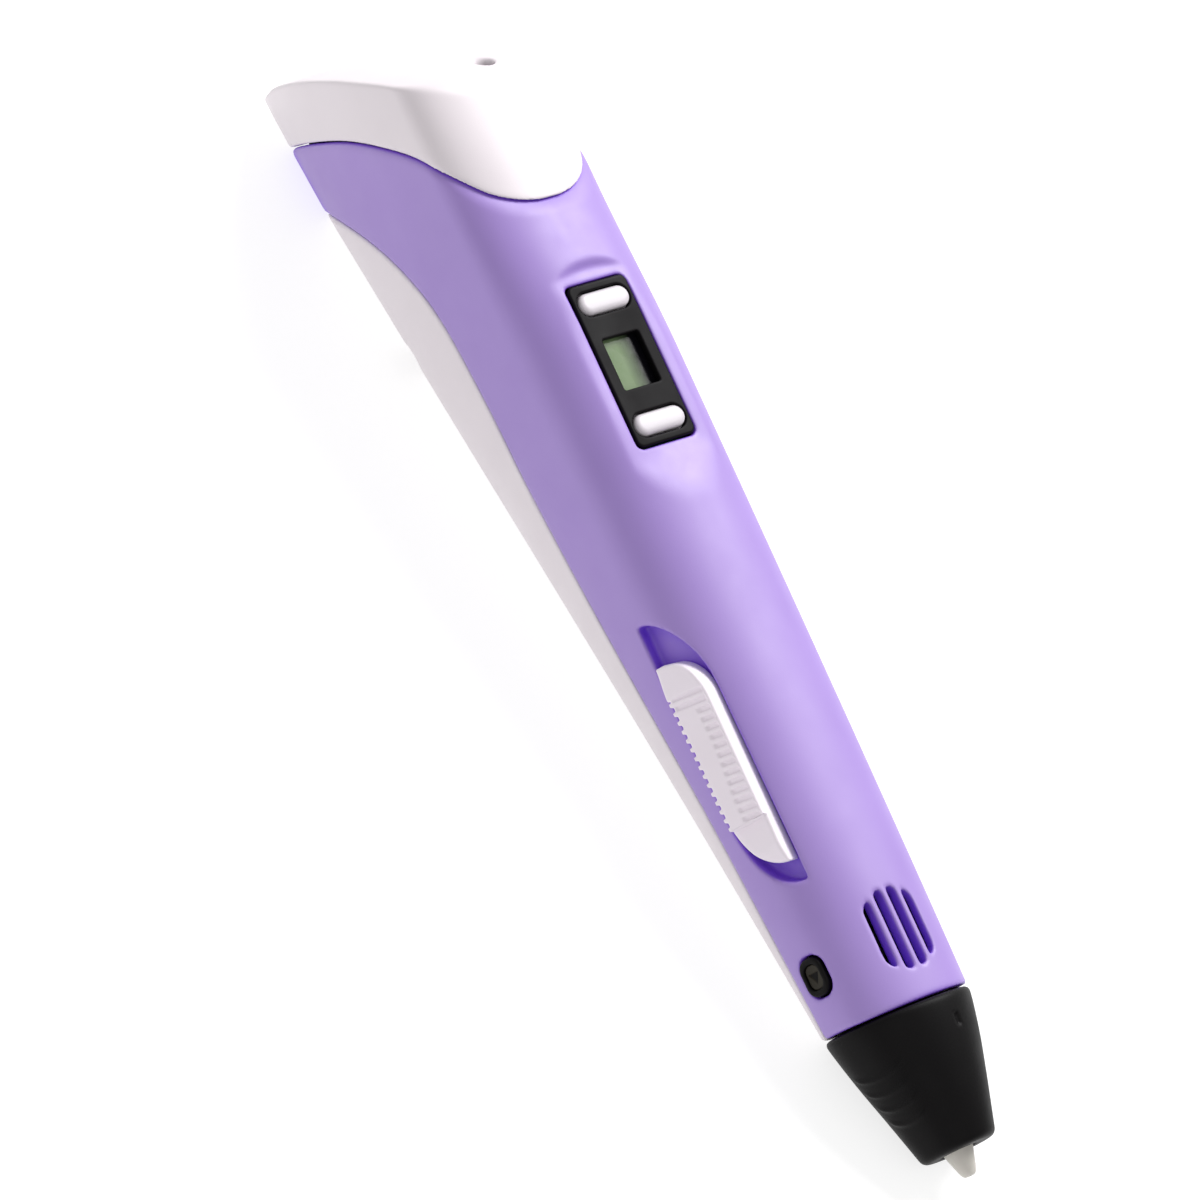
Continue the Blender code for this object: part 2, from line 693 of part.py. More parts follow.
def make_display():
    outline = rounded(PANEL_LENGTH, PANEL_WIDTH, 1.0)
    panel = plate("display_panel", outline, upright_at(PANEL_U), 6.84, PANEL_TOP, "panel_black")
    window = block("display_window", (PANEL_U - 3.9, PANEL_U + 3.9), (-3.3, 3.3), (5, 10))
    cut(panel, window)
    block("lcd_module", (114.7, 127.9), (-4.8, 4.8), (4.6, 6.5), "lcd_glass")
    block("main_board", (98.5, 136.5), (-8.4, 8.4), (2.4, 3.6), "board_green")
    block("controller_chip", (103.5, 110.5), (-7.6, -1.4), (1.1, 2.1), "black_plastic")
    for name, shift in (("temp_up", BUTTON_OFFSET), ("temp_down", -BUTTON_OFFSET)):
        make_temperature_button(name, PANEL_U + shift, panel)


def make_temperature_button(name, u, panel):
    """A white key in the panel, with a flange that holds it in and a switch on the board under it."""
    here = upright_at(u)
    hole = plate(f"{name}_hole", stadium(9.3, 3.7), here, 5.0, 10.0)
    cut(panel, hole)
    centre = pen(u, 0, FACET_Z)
    key = plate(f"{name}_button", stadium(8.8, 3.2), here, 6.1, 8.35, "white_plastic", centre)
    flange = plate(f"{name}_flange", stadium(9.7, 4.1), here, 6.0, 6.5)
    join(key, flange)
    block(f"{name}_switch", (u - 1.7, u + 1.7), (-2.2, 2.2), (3.9, 5.4), "black_plastic")


def slider_outline(steps=7):
    """The slider's plan: blunt with one rounded corner at the rear, swept to a point at the front."""
    rear, front, half = 14.2, -17.6, POCKET_HALF_WIDTH - 0.3
    rear_sweep, rear_corner, front_sweep, front_tip = 6.4, -1.8, 9.6, half - 1.2
    outline = []
    for i in range(steps + 1):
        along, across = math.cos(math.pi / 2 * i / steps), math.sin(math.pi / 2 * i / steps)
        outline.append((rear + rear_sweep * (along - 1), rear_corner + (half - rear_corner) * across))
    for i in range(steps + 1):
        along, across = math.cos(math.pi / 2 * i / steps), math.sin(math.pi / 2 * i / steps)
        outline.append((front + front_sweep * (1 - along), front_tip - (half + front_tip) * across))
    outline.append((rear, -half))
    return outline


def slider_profile():
    """The slider's height along its length: fifteen ribs between a rear ramp and a low front tail."""
    floor, valley, peak = POCKET_FLOOR + 0.35, 1.25, 1.85
    ribs, pitch = 15, 1.35
    profile = [(-18, floor), (-18, -0.5), (-14.0, 0.55), (-10.4, 0.85)]
    for i in range(ribs):
        a = -10.4 + pitch * i
        profile += [(a, valley if i else 0.85), (a + 0.1, peak), (a + 0.7, peak), (a + 0.8, valley)]
    profile += [(10.6, 1.4), (13.2, 1.3), (14.5, 0.7), (14.5, floor)]
    kept = [profile[0]]
    kept += [p for before, p in zip(profile, profile[1:]) if p != before]
    return list(reversed(kept))


def make_speed_slider():
    start = flank(0, 0, POCKET_FLOOR)
    low, high = POCKET_FLOOR + 0.35, 6.0
    slider = plate("speed_slider", slider_outline(), flank, low, high, "white_plastic", start)
    profile = slider_profile()
    rings = [[flank(a, b, height) for a, height in profile] for b in (-5, 5)]
    comb = loft("slider_comb", rings)
    combine(slider, comb, "INTERSECT")
    lever_pocket = plate("lever_pocket", rounded(3.2, 1.9, 0.2, 1), flank, -4, -0.5)
    cut(slider, lever_pocket)
    plate("pot_lever", rounded(2.4, 1.2, 0.2, 1), flank, -6.0, -0.9, "black_plastic", start)
    pot_outline = [(a + 1.8, b) for a, b in rounded(20.0, 5.0, 0.4, 1)]
    pot = plate("slide_pot", pot_outline, flank, -7.0, -3.75, "steel")
    track = plate("pot_track", [(a + 1.8, b) for a, b in rounded(8.8, 1.9, 0.3, 1)], flank, -6.4, 0)
    cut(pot, track)


def make_side_button(name, side):
    """A push button in the flank near the nose, with its flange inside and its switch behind it."""
    place = side_button_frame(side)
    centre = place(0, 0, 0)
    button = plate(f"{name}_button", oval(5.5, 4.1), place, -2.9, 0.35, "black_plastic", centre)
    flange = plate(f"{name}_flange", oval(6.9, 5.2), place, -3.0, -2.35)
    join(button, flange)
    plate(f"{name}_switch", rounded(3.6, 3.2, 0.3, 1), place, -6.0, -3.95, "black_plastic")


# ---------------------------------------------------------------- fan, power and fixings


def make_fan():
    half = FAN_SIZE / 2
    low, high = 2.6, 5.8
    here = upright_at(VENT_U)
    frame = plate("fan_frame", rounded(FAN_SIZE, FAN_SIZE, 1.2), here, low, high, "black_plastic")
    bowl = rod("fan_bowl", pen(VENT_U, 0, low + 0.7), pen(VENT_U, 0, high + 2), half - 0.7, None, 24)
    cut(frame, bowl)
    for i in range(4):
        turn = math.tau * (i + 0.5) / 4
        u, y = VENT_U + 3.7 * math.cos(turn), 3.7 * math.sin(turn)
        cut(frame, rod(f"fan_air_{i}", pen(u, y, 0), pen(u, y, 6), 1.5, None, 10))
    join(frame, rod("fan_post", pen(VENT_U, 0, low + 0.3), pen(VENT_U, 0, high - 0.5), 0.5, None, 16))
    blades, hub, tip = 7, 2.2, half - 1.05
    outline = []
    for i in range(blades):
        for shift, radius in ((0.0, hub), (0.06, tip), (0.28, tip), (0.34, hub), (0.67, hub)):
            turn = math.tau * (i + shift) / blades
            outline.append((radius * math.cos(turn), radius * math.sin(turn)))
    on_axis = pen(VENT_U, 0, high)
    impeller = plate("fan_impeller", outline, here, low + 1.0, high - 0.3, "black_plastic", on_axis)
    cut(impeller, rod("impeller_bore", pen(VENT_U, 0, low), pen(VENT_U, 0, high + 1), 0.58, None, 16))


def make_power_inlet():
    height = (JACK_Z - 5.0, JACK_Z + 4.6)
    jack = block("dc_jack", (JACK_BACK, JACK_FACE), (-4.6, 4.6), height, "black_plastic")
    bore_end = JACK_BACK + 4.4
    cut(jack, rod("jack_bore", pen(bore_end, 0, JACK_Z), pen(190, 0, JACK_Z), 3.2))
    pin_hole = (pen(JACK_BACK + 1.0, 0, JACK_Z), pen(bore_end + 0.6, 0, JACK_Z))
    cut(jack, rod("jack_pin_hole", *pin_hole, 1.35, None, 16))
    pin = ((0, 1.05), (10.2, 1.05), (10.8, 0.6))
    turned("jack_pin", pen(JACK_BACK + 1.4, 0, JACK_Z), Vector((-1, 0, 0)), pin, "steel", 16)


def make_case_screws():
    for name, u, y in SCREWS:
        up = Vector((0, 0, 1))
        profile = ((0, 1.2), (0.35, 1.75), (1.3, 1.75), (1.31, 0.8), (9.6, 0.8), (10.3, 0.3))
        screw = turned(name, pen(u, y, -8.1), up, profile, "steel", 16)
        for turn, across in (("a", (1.1, 0.22)), ("b", (0.22, 1.1))):
            span_u, span_y = (u - across[0], u + across[0]), (y - across[1], y + across[1])
            cut(screw, block(f"{name}_{turn}", span_u, span_y, (-9, -7.4)))


def make_leads():
    """The leads inside, each one soft curve between the board and what it feeds."""
    routes = {
        "heater_lead": (
            (22.8, -4.9, -1.4), (30, -5.2, -3.4), (48, -4.6, -6.2), (72, -3.6, -7.4),
            (92, -4.2, -5.6), (98, -5.4, -2.0), (100.6, -6.0, 1.8),
        ),
        "fan_lead": (
            (41.2, 3.4, 3.4), (46, 4.0, 2.2), (58, 5.0, -1.6), (74, 4.0, -5.6),
            (92, 1.0, -6.2), (101, 4.6, -4.0), (105, 7.2, 1.8),
        ),
        "motor_lead": (
            (143.2, -1.0, -17.0), (139.5, 1.6, -15.0), (134, 4.8, -10.0),
            (130, 6.4, -4.0), (128.5, 7.0, 0.6), (128, 7.1, 1.8),
        ),
        "power_lead": (
            (164.3, 2.4, -28.6), (161.5, 4.4, -25.5), (159.6, 5.8, -20.0), (156.8, 6.6, -14.6),
            (150.5, 7.2, -10.5), (142, 8.1, -7.6), (136.5, 7.9, -3.4), (134.0, 7.2, 1.7),
        ),
    }  # fmt: skip
    for name, points in routes.items():
        route = smooth_through([pen(*p) for p in points], 3)
        rings = []
        for i, point in enumerate(route):
            along = route[min(i + 1, len(route) - 1)] - route[max(i - 1, 0)]
            rings.append(circle(point, along, 0.6, 7))
        loft(name, rings, "lead_red")


# ---------------------------------------------------------------- standing it on the table


def solid_bounds():
    """The lowest and highest corner of every piece, as modified, in world space."""
    bpy.context.view_layer.update()
    graph = bpy.context.evaluated_depsgraph_get()
    corners = []
    for obj in bpy.context.scene.objects:
        if obj.type == "MESH" and not obj.hide_render:
            made = obj.evaluated_get(graph)
            mesh = made.to_mesh()
            corners += [made.matrix_world @ v.co for v in mesh.vertices]
            made.to_mesh_clear()
    low = Vector([min(c[i] for c in corners) for i in range(3)])
    high = Vector([max(c[i] for c in corners) for i in range(3)])
    return low, high


def lay_on_table():
    """Tips the pen until the keel is level, then centres it on the origin with its lowest point at 0."""
    PEN_FRAME.matrix_world = Matrix.Rotation(math.atan(KEEL_SLOPE), 4, "Y")
    low, high = solid_bounds()
    PEN_FRAME.location = (-(low.x + high.x) / 2, -(low.y + high.y) / 2, -low.z)
    bpy.context.view_layer.update()


def build():
    regions = casing_regions()
    hollow = casing_hollow()
    core = casing("casing_core", WALL / 2, 18.0, 188.0, 8.5)
    make_upper_shell(regions[0], hollow, core)
    make_lower_shell(regions[1], hollow, core)
    make_tail_cap(regions[2], hollow)
    make_nose_cone()
    make_hot_end()
    make_filament_path()
    make_geared_motor()
    make_drive_gear()
    make_motor_bracket()
    make_idler()
    make_display()
    make_speed_slider()
    make_side_button("feed", -1)
    make_side_button("retract", 1)
    make_fan()
    make_power_inlet()
    make_case_screws()
    make_leads()
    lay_on_table()


clear_scene()
PEN_FRAME = bpy.data.objects.new("pen_frame", None)
bpy.context.scene.collection.objects.link(PEN_FRAME)
build()
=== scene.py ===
"""The looks of a handheld three-d printing pen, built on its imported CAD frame.

The casing and the controls are written as distance fields in the pen's own frame, in
millimetres: u is the distance behind the nozzle's tip, y is across, and z is the display's
normal. Each field becomes a mesh, and rides on the CAD body of the piece that it stands for.
"""

import json
import math

import bpy
import numpy as np
from mathutils import Matrix, Vector


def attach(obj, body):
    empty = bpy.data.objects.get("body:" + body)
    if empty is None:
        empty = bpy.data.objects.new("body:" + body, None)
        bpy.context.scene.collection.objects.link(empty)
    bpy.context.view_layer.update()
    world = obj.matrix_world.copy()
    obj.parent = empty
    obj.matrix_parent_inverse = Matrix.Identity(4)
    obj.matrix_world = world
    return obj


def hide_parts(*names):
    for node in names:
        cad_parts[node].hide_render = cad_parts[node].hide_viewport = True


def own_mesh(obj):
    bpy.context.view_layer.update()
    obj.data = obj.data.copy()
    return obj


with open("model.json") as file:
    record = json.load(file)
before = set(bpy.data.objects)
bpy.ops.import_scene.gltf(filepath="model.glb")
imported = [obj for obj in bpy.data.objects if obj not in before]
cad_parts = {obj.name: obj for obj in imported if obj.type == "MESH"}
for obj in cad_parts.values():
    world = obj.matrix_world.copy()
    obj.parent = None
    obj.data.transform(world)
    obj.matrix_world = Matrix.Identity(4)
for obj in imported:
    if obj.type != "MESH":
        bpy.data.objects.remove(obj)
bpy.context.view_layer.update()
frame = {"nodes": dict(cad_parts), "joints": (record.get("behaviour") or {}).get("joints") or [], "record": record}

MM = 0.001

# The casing's form, as in the CAD
SHELL_FRONT = 24.3
NOSE_GAP = 0.3
JOINT_SLANT = -0.055
WALL = 1.5
CAP_WALL = 1.8
SEAM_LINE = 0.2
ROOF = 9.0
ROOF_DROPS = ((122, 28, 2.0), (148, 25, 0.8))
NOSE_KEEL = 9.3
KEEL_SLOPE = 0.191
ROOF_POWER = 2.2
FLANK_POWERS = (2.0, 2.2, 1.7)
KEEL_HALF = 3.0
CAP_HEEL = 37.4
END_CROWN = 1.2

# Side-view curves, as (u, z)
PARTING = (
    (18, -2.8), (55, -5.0), (89, -8.8), (111, -10.6), (126, -11.0), (139, -12.4),
    (148, -16.0), (156, -22.0), (163, -30.5), (166, -38.0), (167, -46.0),
)  # fmt: skip
CAP_EDGE = (
    (177.5, -46.0), (176.5, -38.0), (172.6, -25.0), (167.7, -13.3), (160.6, -2.5),
    (155.0, 2.5), (149.5, 5.4), (146.3, 7.2), (145.4, 9.0), (145.2, 14.0),
)  # fmt: skip
END_FACE = (
    (184.7, -36.6), (184.3, -31.5), (183.3, -27.0), (181.5, -21.0), (178.4, -13.0),
    (175.2, -6.4), (172.0, -0.6), (169.2, 3.4), (165.6, 6.0), (160.0, 8.8),
)  # fmt: skip

# Display
PANEL_U = 121.3
PANEL_LENGTH = 24.6
PANEL_WIDTH = 10.5
FACET_Z = 7.64
PANEL_TOP = 7.84
PANEL_BOTTOM = 6.84
BUTTON_OFFSET = 9.3
RAMP_START = 108.4
RAMP_SLOPE = 0.195
HOLLOW_DROP = 0.45
STEP_U = 136.0
STEP_LEAN = 1.2

# Speed slider: its frame lies in the flank
SLIDER_AT = Vector((-66.0, -10.9, 2.75))
SLIDER_BACK = Vector((-42.0, -0.56, 0.07)).normalized()
FLANK_TILT = math.radians(17)
POCKET_HALF_LENGTH = 20.7
POCKET_HALF_WIDTH = 3.7
POCKET_FLOOR = -2.2
RIBS_FRONT = -10.4
RIBS_REAR = 9.6
RIB_PITCH = 1.35

# Side buttons
SIDE_BUTTON_U = 32.8
SIDE_BUTTON_Y = 11.3
SIDE_BUTTON_Z = 1.4
SIDE_BUTTON_TILT = math.radians(10)

# Case screws, as (u, y)
SCREWS = ((92.0, 6.3), (139.6, -5.0))

# Vent
VENT_U = 34.3
VENT_RADIUS = 5.9
SLOT_PITCH = 2.45
SLOT_WIDTH = 1.5

# Power inlet, filament path and the idler's spring
JACK_Z = -27.0
JACK_FACE = 178.5
FILAMENT_Y = 2.8
INLET_RISE = 0.09
SPRING_TAB = (143.5, 9.6, 0.0)
DRIVE_U = 150.0
DRIVE_Y = -1.0

# The pen's frame in the row frame: tipped nose-down until the keel is level
TIP = np.array(Matrix.Rotation(math.atan(KEEL_SLOPE), 3, "Y"))
DRIVE = next(j for j in frame["joints"] if j["name"] == "drive_spin")
ORIGIN = np.array(DRIVE["pos_m"]) - TIP @ np.array((-DRIVE_U, DRIVE_Y, 0)) * MM


def to_row(points):
    """Pen-frame (u, y, z) in millimetres to row-frame metres."""
    return ORIGIN + (points * (-MM, MM, MM)) @ TIP.T


def to_row_direction(directions):
    return (directions * (-1, 1, 1)) @ TIP.T


# ---------------------------------------------------------------- fields


def smax(a, b, k):
    """The larger of two fields, with the edge between them rounded over about k."""
    h = np.maximum(k - np.abs(a - b), 0) / k
    return np.maximum(a, b) + h * h * (k / 4)


def smin(a, b, k):
    return -smax(-a, -b, k)


def carve(body, tool, k=0.3):
    return smax(body, -tool, k)


def ease(t):
    t = np.clip(t, 0, 1)
    return t * t * (3 - 2 * t)


def smooth_through(points, steps=6):
    """A Catmull-Rom curve through a few design points."""
    points = [np.array(p, float) for p in points]
    padded = [2 * points[0] - points[1], *points, 2 * points[-1] - points[-2]]
    curve = []
    for before, start, end, after in zip(padded, padded[1:], padded[2:], padded[3:]):
        for i in range(steps):
            t = i / steps
            bend = 2 * before - 5 * start + 4 * end - after
            twist = 3 * start - before - 3 * end + after
            curve.append(start + 0.5 * (t * (end - before) + t * t * bend + t**3 * twist))
    return np.array([*curve, points[-1]])


def left_of(curve, u, z):
    """Signed distance from an open curve run on straight at both ends; positive to its left."""
    first, last = curve[0] - curve[1], curve[-1] - curve[-2]
    first, last = first / np.linalg.norm(first), last / np.linalg.norm(last)
    line = np.vstack([curve[0] + 200 * first, curve, curve[-1] + 200 * last])
    best = np.full(np.broadcast(u, z).shape, 1e9)
    side = np.zeros_like(best)
    for start, end in zip(line, line[1:]):
        du, dz = end - start
        length = math.hypot(du, dz)
        t = np.clip(((u - start[0]) * du + (z - start[1]) * dz) / length**2, 0, 1)
        away = np.hypot(u - start[0] - t * du, z - start[1] - t * dz)
        cross = du * (z - start[1]) - dz * (u - start[0])
        closer = away < best - 1e-9
        best = np.where(closer, away, best)
        side = np.where(closer, np.sign(cross), side)
    return best * side


def inside_of(outline, a, b):
    """Signed distance from a closed outline, negative inside."""
    best = np.full(np.broadcast(a, b).shape, 1e9)
    within = np.zeros(best.shape, bool)
    for start, end in zip(outline, np.roll(outline, -1, 0)):
        da, db = end - start
        t = np.clip(((a - start[0]) * da + (b - start[1]) * db) / (da * da + db * db), 0, 1)
        best = np.minimum(best, np.hypot(a - start[0] - t * da, b - start[1] - t * db))
        spans = (start[1] > b) != (end[1] > b)
        if db:
            within ^= spans & (a < start[0] + (b - start[1]) * da / db)
    return np.where(within, -best, best)


def round_box(a, b, length, width, radius):
    qa, qb = np.abs(a) - length / 2 + radius, np.abs(b) - width / 2 + radius
    outer = np.hypot(np.maximum(qa, 0), np.maximum(qb, 0))
    return outer + np.minimum(np.maximum(qa, qb), 0) - radius


def capsule(a, b, length, width):
    """A stadium, long along b."""
    return np.hypot(a, np.maximum(np.abs(b) - (length - width) / 2, 0)) - width / 2


def half_width(u):
    return 11.2 + 1.7 * (1 - np.exp(-(u - SHELL_FRONT) / 60))


def roof(u):
    return ROOF - sum(drop * ease((u - start) / run) for start, run, drop in ROOF_DROPS)


def casing_field(u, y, z, axes):
    """Roughly the distance outside the whole casing's skin."""
    width, top, keel = half_width(u), roof(u), NOSE_KEEL + KEEL_SLOPE * (u - SHELL_FRONT)
    front, middle, tail = FLANK_POWERS
    power = front + (middle - front) * ease((u - 60) / 80) + (tail - middle) * ease((u - 160) / 26)
    belly = keel / (1 - (KEEL_HALF / width) ** power) ** (1 / power)
    across = np.abs(y) / width
    over = (across**ROOF_POWER + (np.maximum(z, 0) / top) ** ROOF_POWER) ** (1 / ROOF_POWER)
    under = (across**power + (np.maximum(-z, 0) / belly) ** power) ** (1 / power)
    ratio = np.where(z > 0, over, under)
    slope = np.sqrt(sum(g * g for g in np.gradient(ratio, *axes)))
    skin = (ratio - 1) / np.maximum(slope, 0.02)
    tilt = math.cos(math.atan(KEEL_SLOPE))
    return smax(skin, (-keel - z) * tilt, 0.8)


# ---------------------------------------------------------------- from field to mesh


def lattice(*spans):
    """Three axes, each from stretches of (start, stop, step), and their grid."""
    axes = []
    for span in spans:
        parts = [np.arange(start, stop - step / 4, step) for start, stop, step in span]
        axes.append(np.concatenate([*parts, [span[-1][1]]]))
    u, y, z = np.meshgrid(*axes, indexing="ij", sparse=True)
    return axes, u, y, z


def net(values, axes):
    """Surface nets: a point in each cell the surface crosses, and a quad on each crossed edge."""
    values = values.copy()
    for axis in range(3):
        for layer in (0, -1):
            edge = [slice(None)] * 3
            edge[axis] = layer
            values[tuple(edge)] = np.maximum(values[tuple(edge)], 0.05)
    cells = tuple(n - 1 for n in values.shape)
    sums, hits = np.zeros(cells + (3,)), np.zeros(cells)
    crossings = []
    for axis in range(3):
        low = np.delete(values, -1, axis)
        high = np.delete(values, 0, axis)
        index = np.argwhere((low < 0) != (high < 0))
        at = tuple(index.T)
        share = low[at] / (low[at] - high[at])
        spot = np.stack([axes[d][index[:, d]] for d in range(3)], 1)
        steps = np.diff(axes[axis])[index[:, axis]]
        spot[:, axis] += share * steps
        crossings.append((index, low[at] < 0))
        first, second = (axis + 1) % 3, (axis + 2) % 3
        for back_first in (0, 1):
            for back_second in (0, 1):
                cell = index.copy()
                cell[:, first] -= back_first
                cell[:, second] -= back_second
                sums[tuple(cell.T)] += spot
                hits[tuple(cell.T)] += 1
    used = hits > 0
    number = np.full(cells, -1)
    number[used] = np.arange(used.sum())
    points = sums[used] / hits[used][:, None]
    faces = []
    for axis, (index, outward) in enumerate(crossings):
        first, second = (axis + 1) % 3, (axis + 2) % 3
        corners = []
        for back_first, back_second in ((0, 0), (1, 0), (1, 1), (0, 1)):
            cell = index.copy()
            cell[:, first] -= back_first
            cell[:, second] -= back_second
            corners.append(number[tuple(cell.T)])
        quads = np.stack(corners, 1)
        faces.append(np.where(outward[:, None], quads, quads[:, ::-1]))
    return points, np.concatenate(faces), np.argwhere(used)


def normals_at(values, axes, points, cells):
    """The field's gradient at each point, interpolated in its cell."""
    shares = []
    for d in range(3):
        low = axes[d][cells[:, d]]
        shares.append((points[:, d] - low) / (axes[d][cells[:, d] + 1] - low))
    slopes = np.zeros_like(points)
    for d, slope in enumerate(np.gradient(values, *axes)):
        for corner in range(8):
            step = [corner >> k & 1 for k in range(3)]
            weight = np.prod([shares[k] if step[k] else 1 - shares[k] for k in range(3)], axis=0)
            slopes[:, d] += weight * slope[tuple((cells + step).T)]
    return slopes / np.maximum(np.linalg.norm(slopes, axis=1), 1e-9)[:, None]


def piece(name, values, axes, place, turn, finish, node, body, slot, mirrored=True):
    """A field's surface as an object; place and turn take points and directions to the row."""
    points, faces, cells = net(values, axes)
    normals = normals_at(values, axes, points, cells)
    if mirrored:
        faces = faces[:, ::-1]
    mesh = bpy.data.meshes.new(name)
    mesh.from_pydata(place(points).tolist(), [], faces.tolist())
    mesh.shade_smooth()
    mesh.normals_split_custom_set_from_vertices(turn(normals).tolist())
    return settle(name, mesh, finish, node, body)


def settle(name, mesh, finish, node, body):
    mesh.materials.append(finish)
    obj = bpy.data.objects.new(name, mesh)
    bpy.context.scene.collection.objects.link(obj)
    if node:
        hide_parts(node)
    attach(obj, body)
    print(name, len(mesh.polygons), "faces")
    return obj


# ---------------------------------------------------------------- materials


class Nodes:
    """A material's node tree, with short calls to add and join nodes."""

    def __init__(self, name):
        self.material = bpy.data.materials.new(name)
        self.material.use_nodes = True
        self.tree = self.material.node_tree
        self.shader = self.tree.nodes["Principled BSDF"]
        self.place = self.tree.nodes.new("ShaderNodeTexCoord").outputs["Object"]

    def add(self, kind, settings=None, **inputs):
        node = self.tree.nodes.new(kind)
        for key, value in (settings or {}).items():
            setattr(node, key, value)
        for key, value in inputs.items():
            socket = node.inputs[key.replace("_", " ")]
            if isinstance(value, bpy.types.NodeSocket):
                self.tree.links.new(value, socket)
            else:
                socket.default_value = value
        return node

    def noise(self, scale, detail=2.0, roughness=0.5):
        made = self.add("ShaderNodeTexNoise", Scale=scale, Detail=detail, Roughness=roughness)
        self.tree.links.new(self.place, made.inputs["Vector"])
        return made.outputs["Fac"]

    def spread(self, value, low, high, start=0.3, stop=0.7):
        made = self.add("ShaderNodeMapRange", Value=value)
        sockets = ("From Min", "From Max", "To Min", "To Max")
        for key, number in zip(sockets, (start, stop, low, high)):
            made.inputs[key].default_value = number
        return made.outputs["Result"]

    def mix(self, share, first, second):
        made = self.add("ShaderNodeMix", {"data_type": "RGBA"})
        self.join(share, made.inputs[0])
        for socket, colour in ((made.inputs[6], first), (made.inputs[7], second)):
            self.join(colour, socket)
        return made.outputs[2]

    def join(self, value, socket):
        if isinstance(value, bpy.types.NodeSocket):
            self.tree.links.new(value, socket)
        elif isinstance(value, (int, float)):
            socket.default_value = value
        else:
            socket.default_value = (*value, 1)

    def set(self, **inputs):
        for key, value in inputs.items():
            self.join(value, self.shader.inputs[key.replace("_", " ")])

    def bump(self, height, distance, strength=1.0):
        made = self.add("ShaderNodeBump", Height=height, Distance=distance, Strength=strength)
        self.tree.links.new(made.outputs["Normal"], self.shader.inputs["Normal"])


def srgb(*values):
    """Eight-bit sRGB to linear."""
    return tuple(((v / 255 + 0.055) / 1.055) ** 2.4 if v > 10 else v / 255 / 12.92 for v in values)


def moulded(name, colour, shade, roughness, grain=0.00002, gloss=0.5, glow=0.0, painted_shade_colour=None):
    """Moulded plastic: slow colour drift, a fine spark-eroded grain and patches of polish from
    handling; if a shade colour is given, it is painted as painted shade into the recesses that ambient occlusion
    finds."""
    nodes = Nodes(name)
    drift = nodes.spread(nodes.noise(60, 3), 0, 1)
    skin = nodes.mix(drift, colour, shade)
    if painted_shade_colour:
        # painted shade: recesses found by ambient occlusion take a deeper, fuller colour
        hollow = nodes.add("ShaderNodeAmbientOcclusion", {"samples": 8}, Distance=0.006)
        unshaded_share = nodes.spread(hollow.outputs["AO"], 0, 1, 0.35, 0.95)
        skin = nodes.mix(unshaded_share, painted_shade_colour, skin)
    nodes.set(Base_Color=skin)
    polish = nodes.spread(nodes.noise(170, 4), roughness - 0.05, roughness + 0.06)
    nodes.set(Roughness=polish, Specular_IOR_Level=gloss)
    fine = nodes.noise(5200, 3, 0.6)
    nodes.bump(fine, grain, 0.6)
    if glow:
        nodes.set(Subsurface_Weight=glow, Subsurface_Scale=0.0015)
        nodes.shader.inputs["Subsurface Radius"].default_value = (1.0, 0.8, 1.0)
    return nodes.material


def metal(name, colour, roughness, stretch):
    """Drawn or turned metal: fine lines along one direction, and duller patches."""
    nodes = Nodes(name)
    squeezed = nodes.add("ShaderNodeVectorMath", {"operation": "MULTIPLY"})
    nodes.tree.links.new(nodes.place, squeezed.inputs[0])
    squeezed.inputs[1].default_value = stretch
    lines = nodes.add("ShaderNodeTexNoise", Scale=2500, Detail=3, Vector=squeezed.outputs[0])
    tone = nodes.spread(nodes.noise(300, 3), 0, 1)
    nodes.set(Base_Color=nodes.mix(tone, colour, tuple(c * 0.8 for c in colour)), Metallic=1.0)
    nodes.set(Roughness=nodes.spread(lines.outputs["Fac"], roughness - 0.08, roughness + 0.1))
    nodes.bump(lines.outputs["Fac"], 0.00002, 0.5)
    return nodes.material


def woven(name, colour, shade):
    """The heater's braided sleeve: two sets of crossing threads."""
    nodes = Nodes(name)
    waves = []
    for direction in ("DIAGONAL", "X"):
        settings = {"bands_direction": direction}
        wave = nodes.add("ShaderNodeTexWave", settings, Scale=320, Distortion=1.5)
        nodes.tree.links.new(nodes.place, wave.inputs["Vector"])
        waves.append(wave.outputs["Fac"])
    weave = nodes.add("ShaderNodeMath", {"operation": "MAXIMUM"})
    nodes.tree.links.new(waves[0], weave.inputs[0])
    nodes.tree.links.new(waves[1], weave.inputs[1])
    nodes.set(Base_Color=nodes.mix(weave.outputs[0], shade, colour), Roughness=0.85)
    nodes.bump(weave.outputs[0], 0.0001)
    return nodes.material


def circuit_board(name):
    """Green mask over copper tracks, with the tracks a little raised."""
    nodes = Nodes(name)
    cells = nodes.add("ShaderNodeTexVoronoi", {"distance": "CHEBYCHEV"}, Scale=420)
    nodes.tree.links.new(nodes.place, cells.inputs["Vector"])
    tracks = nodes.spread(cells.outputs["Distance"], 0, 1, 0.35, 0.42)
    nodes.set(Base_Color=nodes.mix(tracks, srgb(26, 92, 52), srgb(38, 120, 66)), Roughness=0.35)
    nodes.bump(tracks, 0.00004)
    return nodes.material


def display_glass(name):
    """Grey-green liquid crystal with painted shade: bright on the slider's side, it fades to near black towards
    the other.
    """
    nodes = Nodes(name)
    split = nodes.add("ShaderNodeSeparateXYZ", Vector=nodes.place)
    middle = ORIGIN[1]
    # painted shade: across the glass, the colour fades to near black away from the slider's side
    painted_shade_share = nodes.spread(split.outputs["Y"], 0, 1, middle - 0.0004, middle + 0.0023)
    glow = nodes.spread(nodes.noise(240, 2), 0, 1)
    lit = nodes.mix(glow, srgb(100, 122, 84), srgb(112, 132, 96))
    nodes.set(Base_Color=nodes.mix(painted_shade_share, lit, srgb(14, 13, 18)), Specular_IOR_Level=0.1)
    nodes.set(Roughness=nodes.spread(nodes.noise(900, 2), 0.18, 0.3))
    nodes.bump(nodes.noise(1600, 2), 0.00001, 0.3)
    return nodes.material


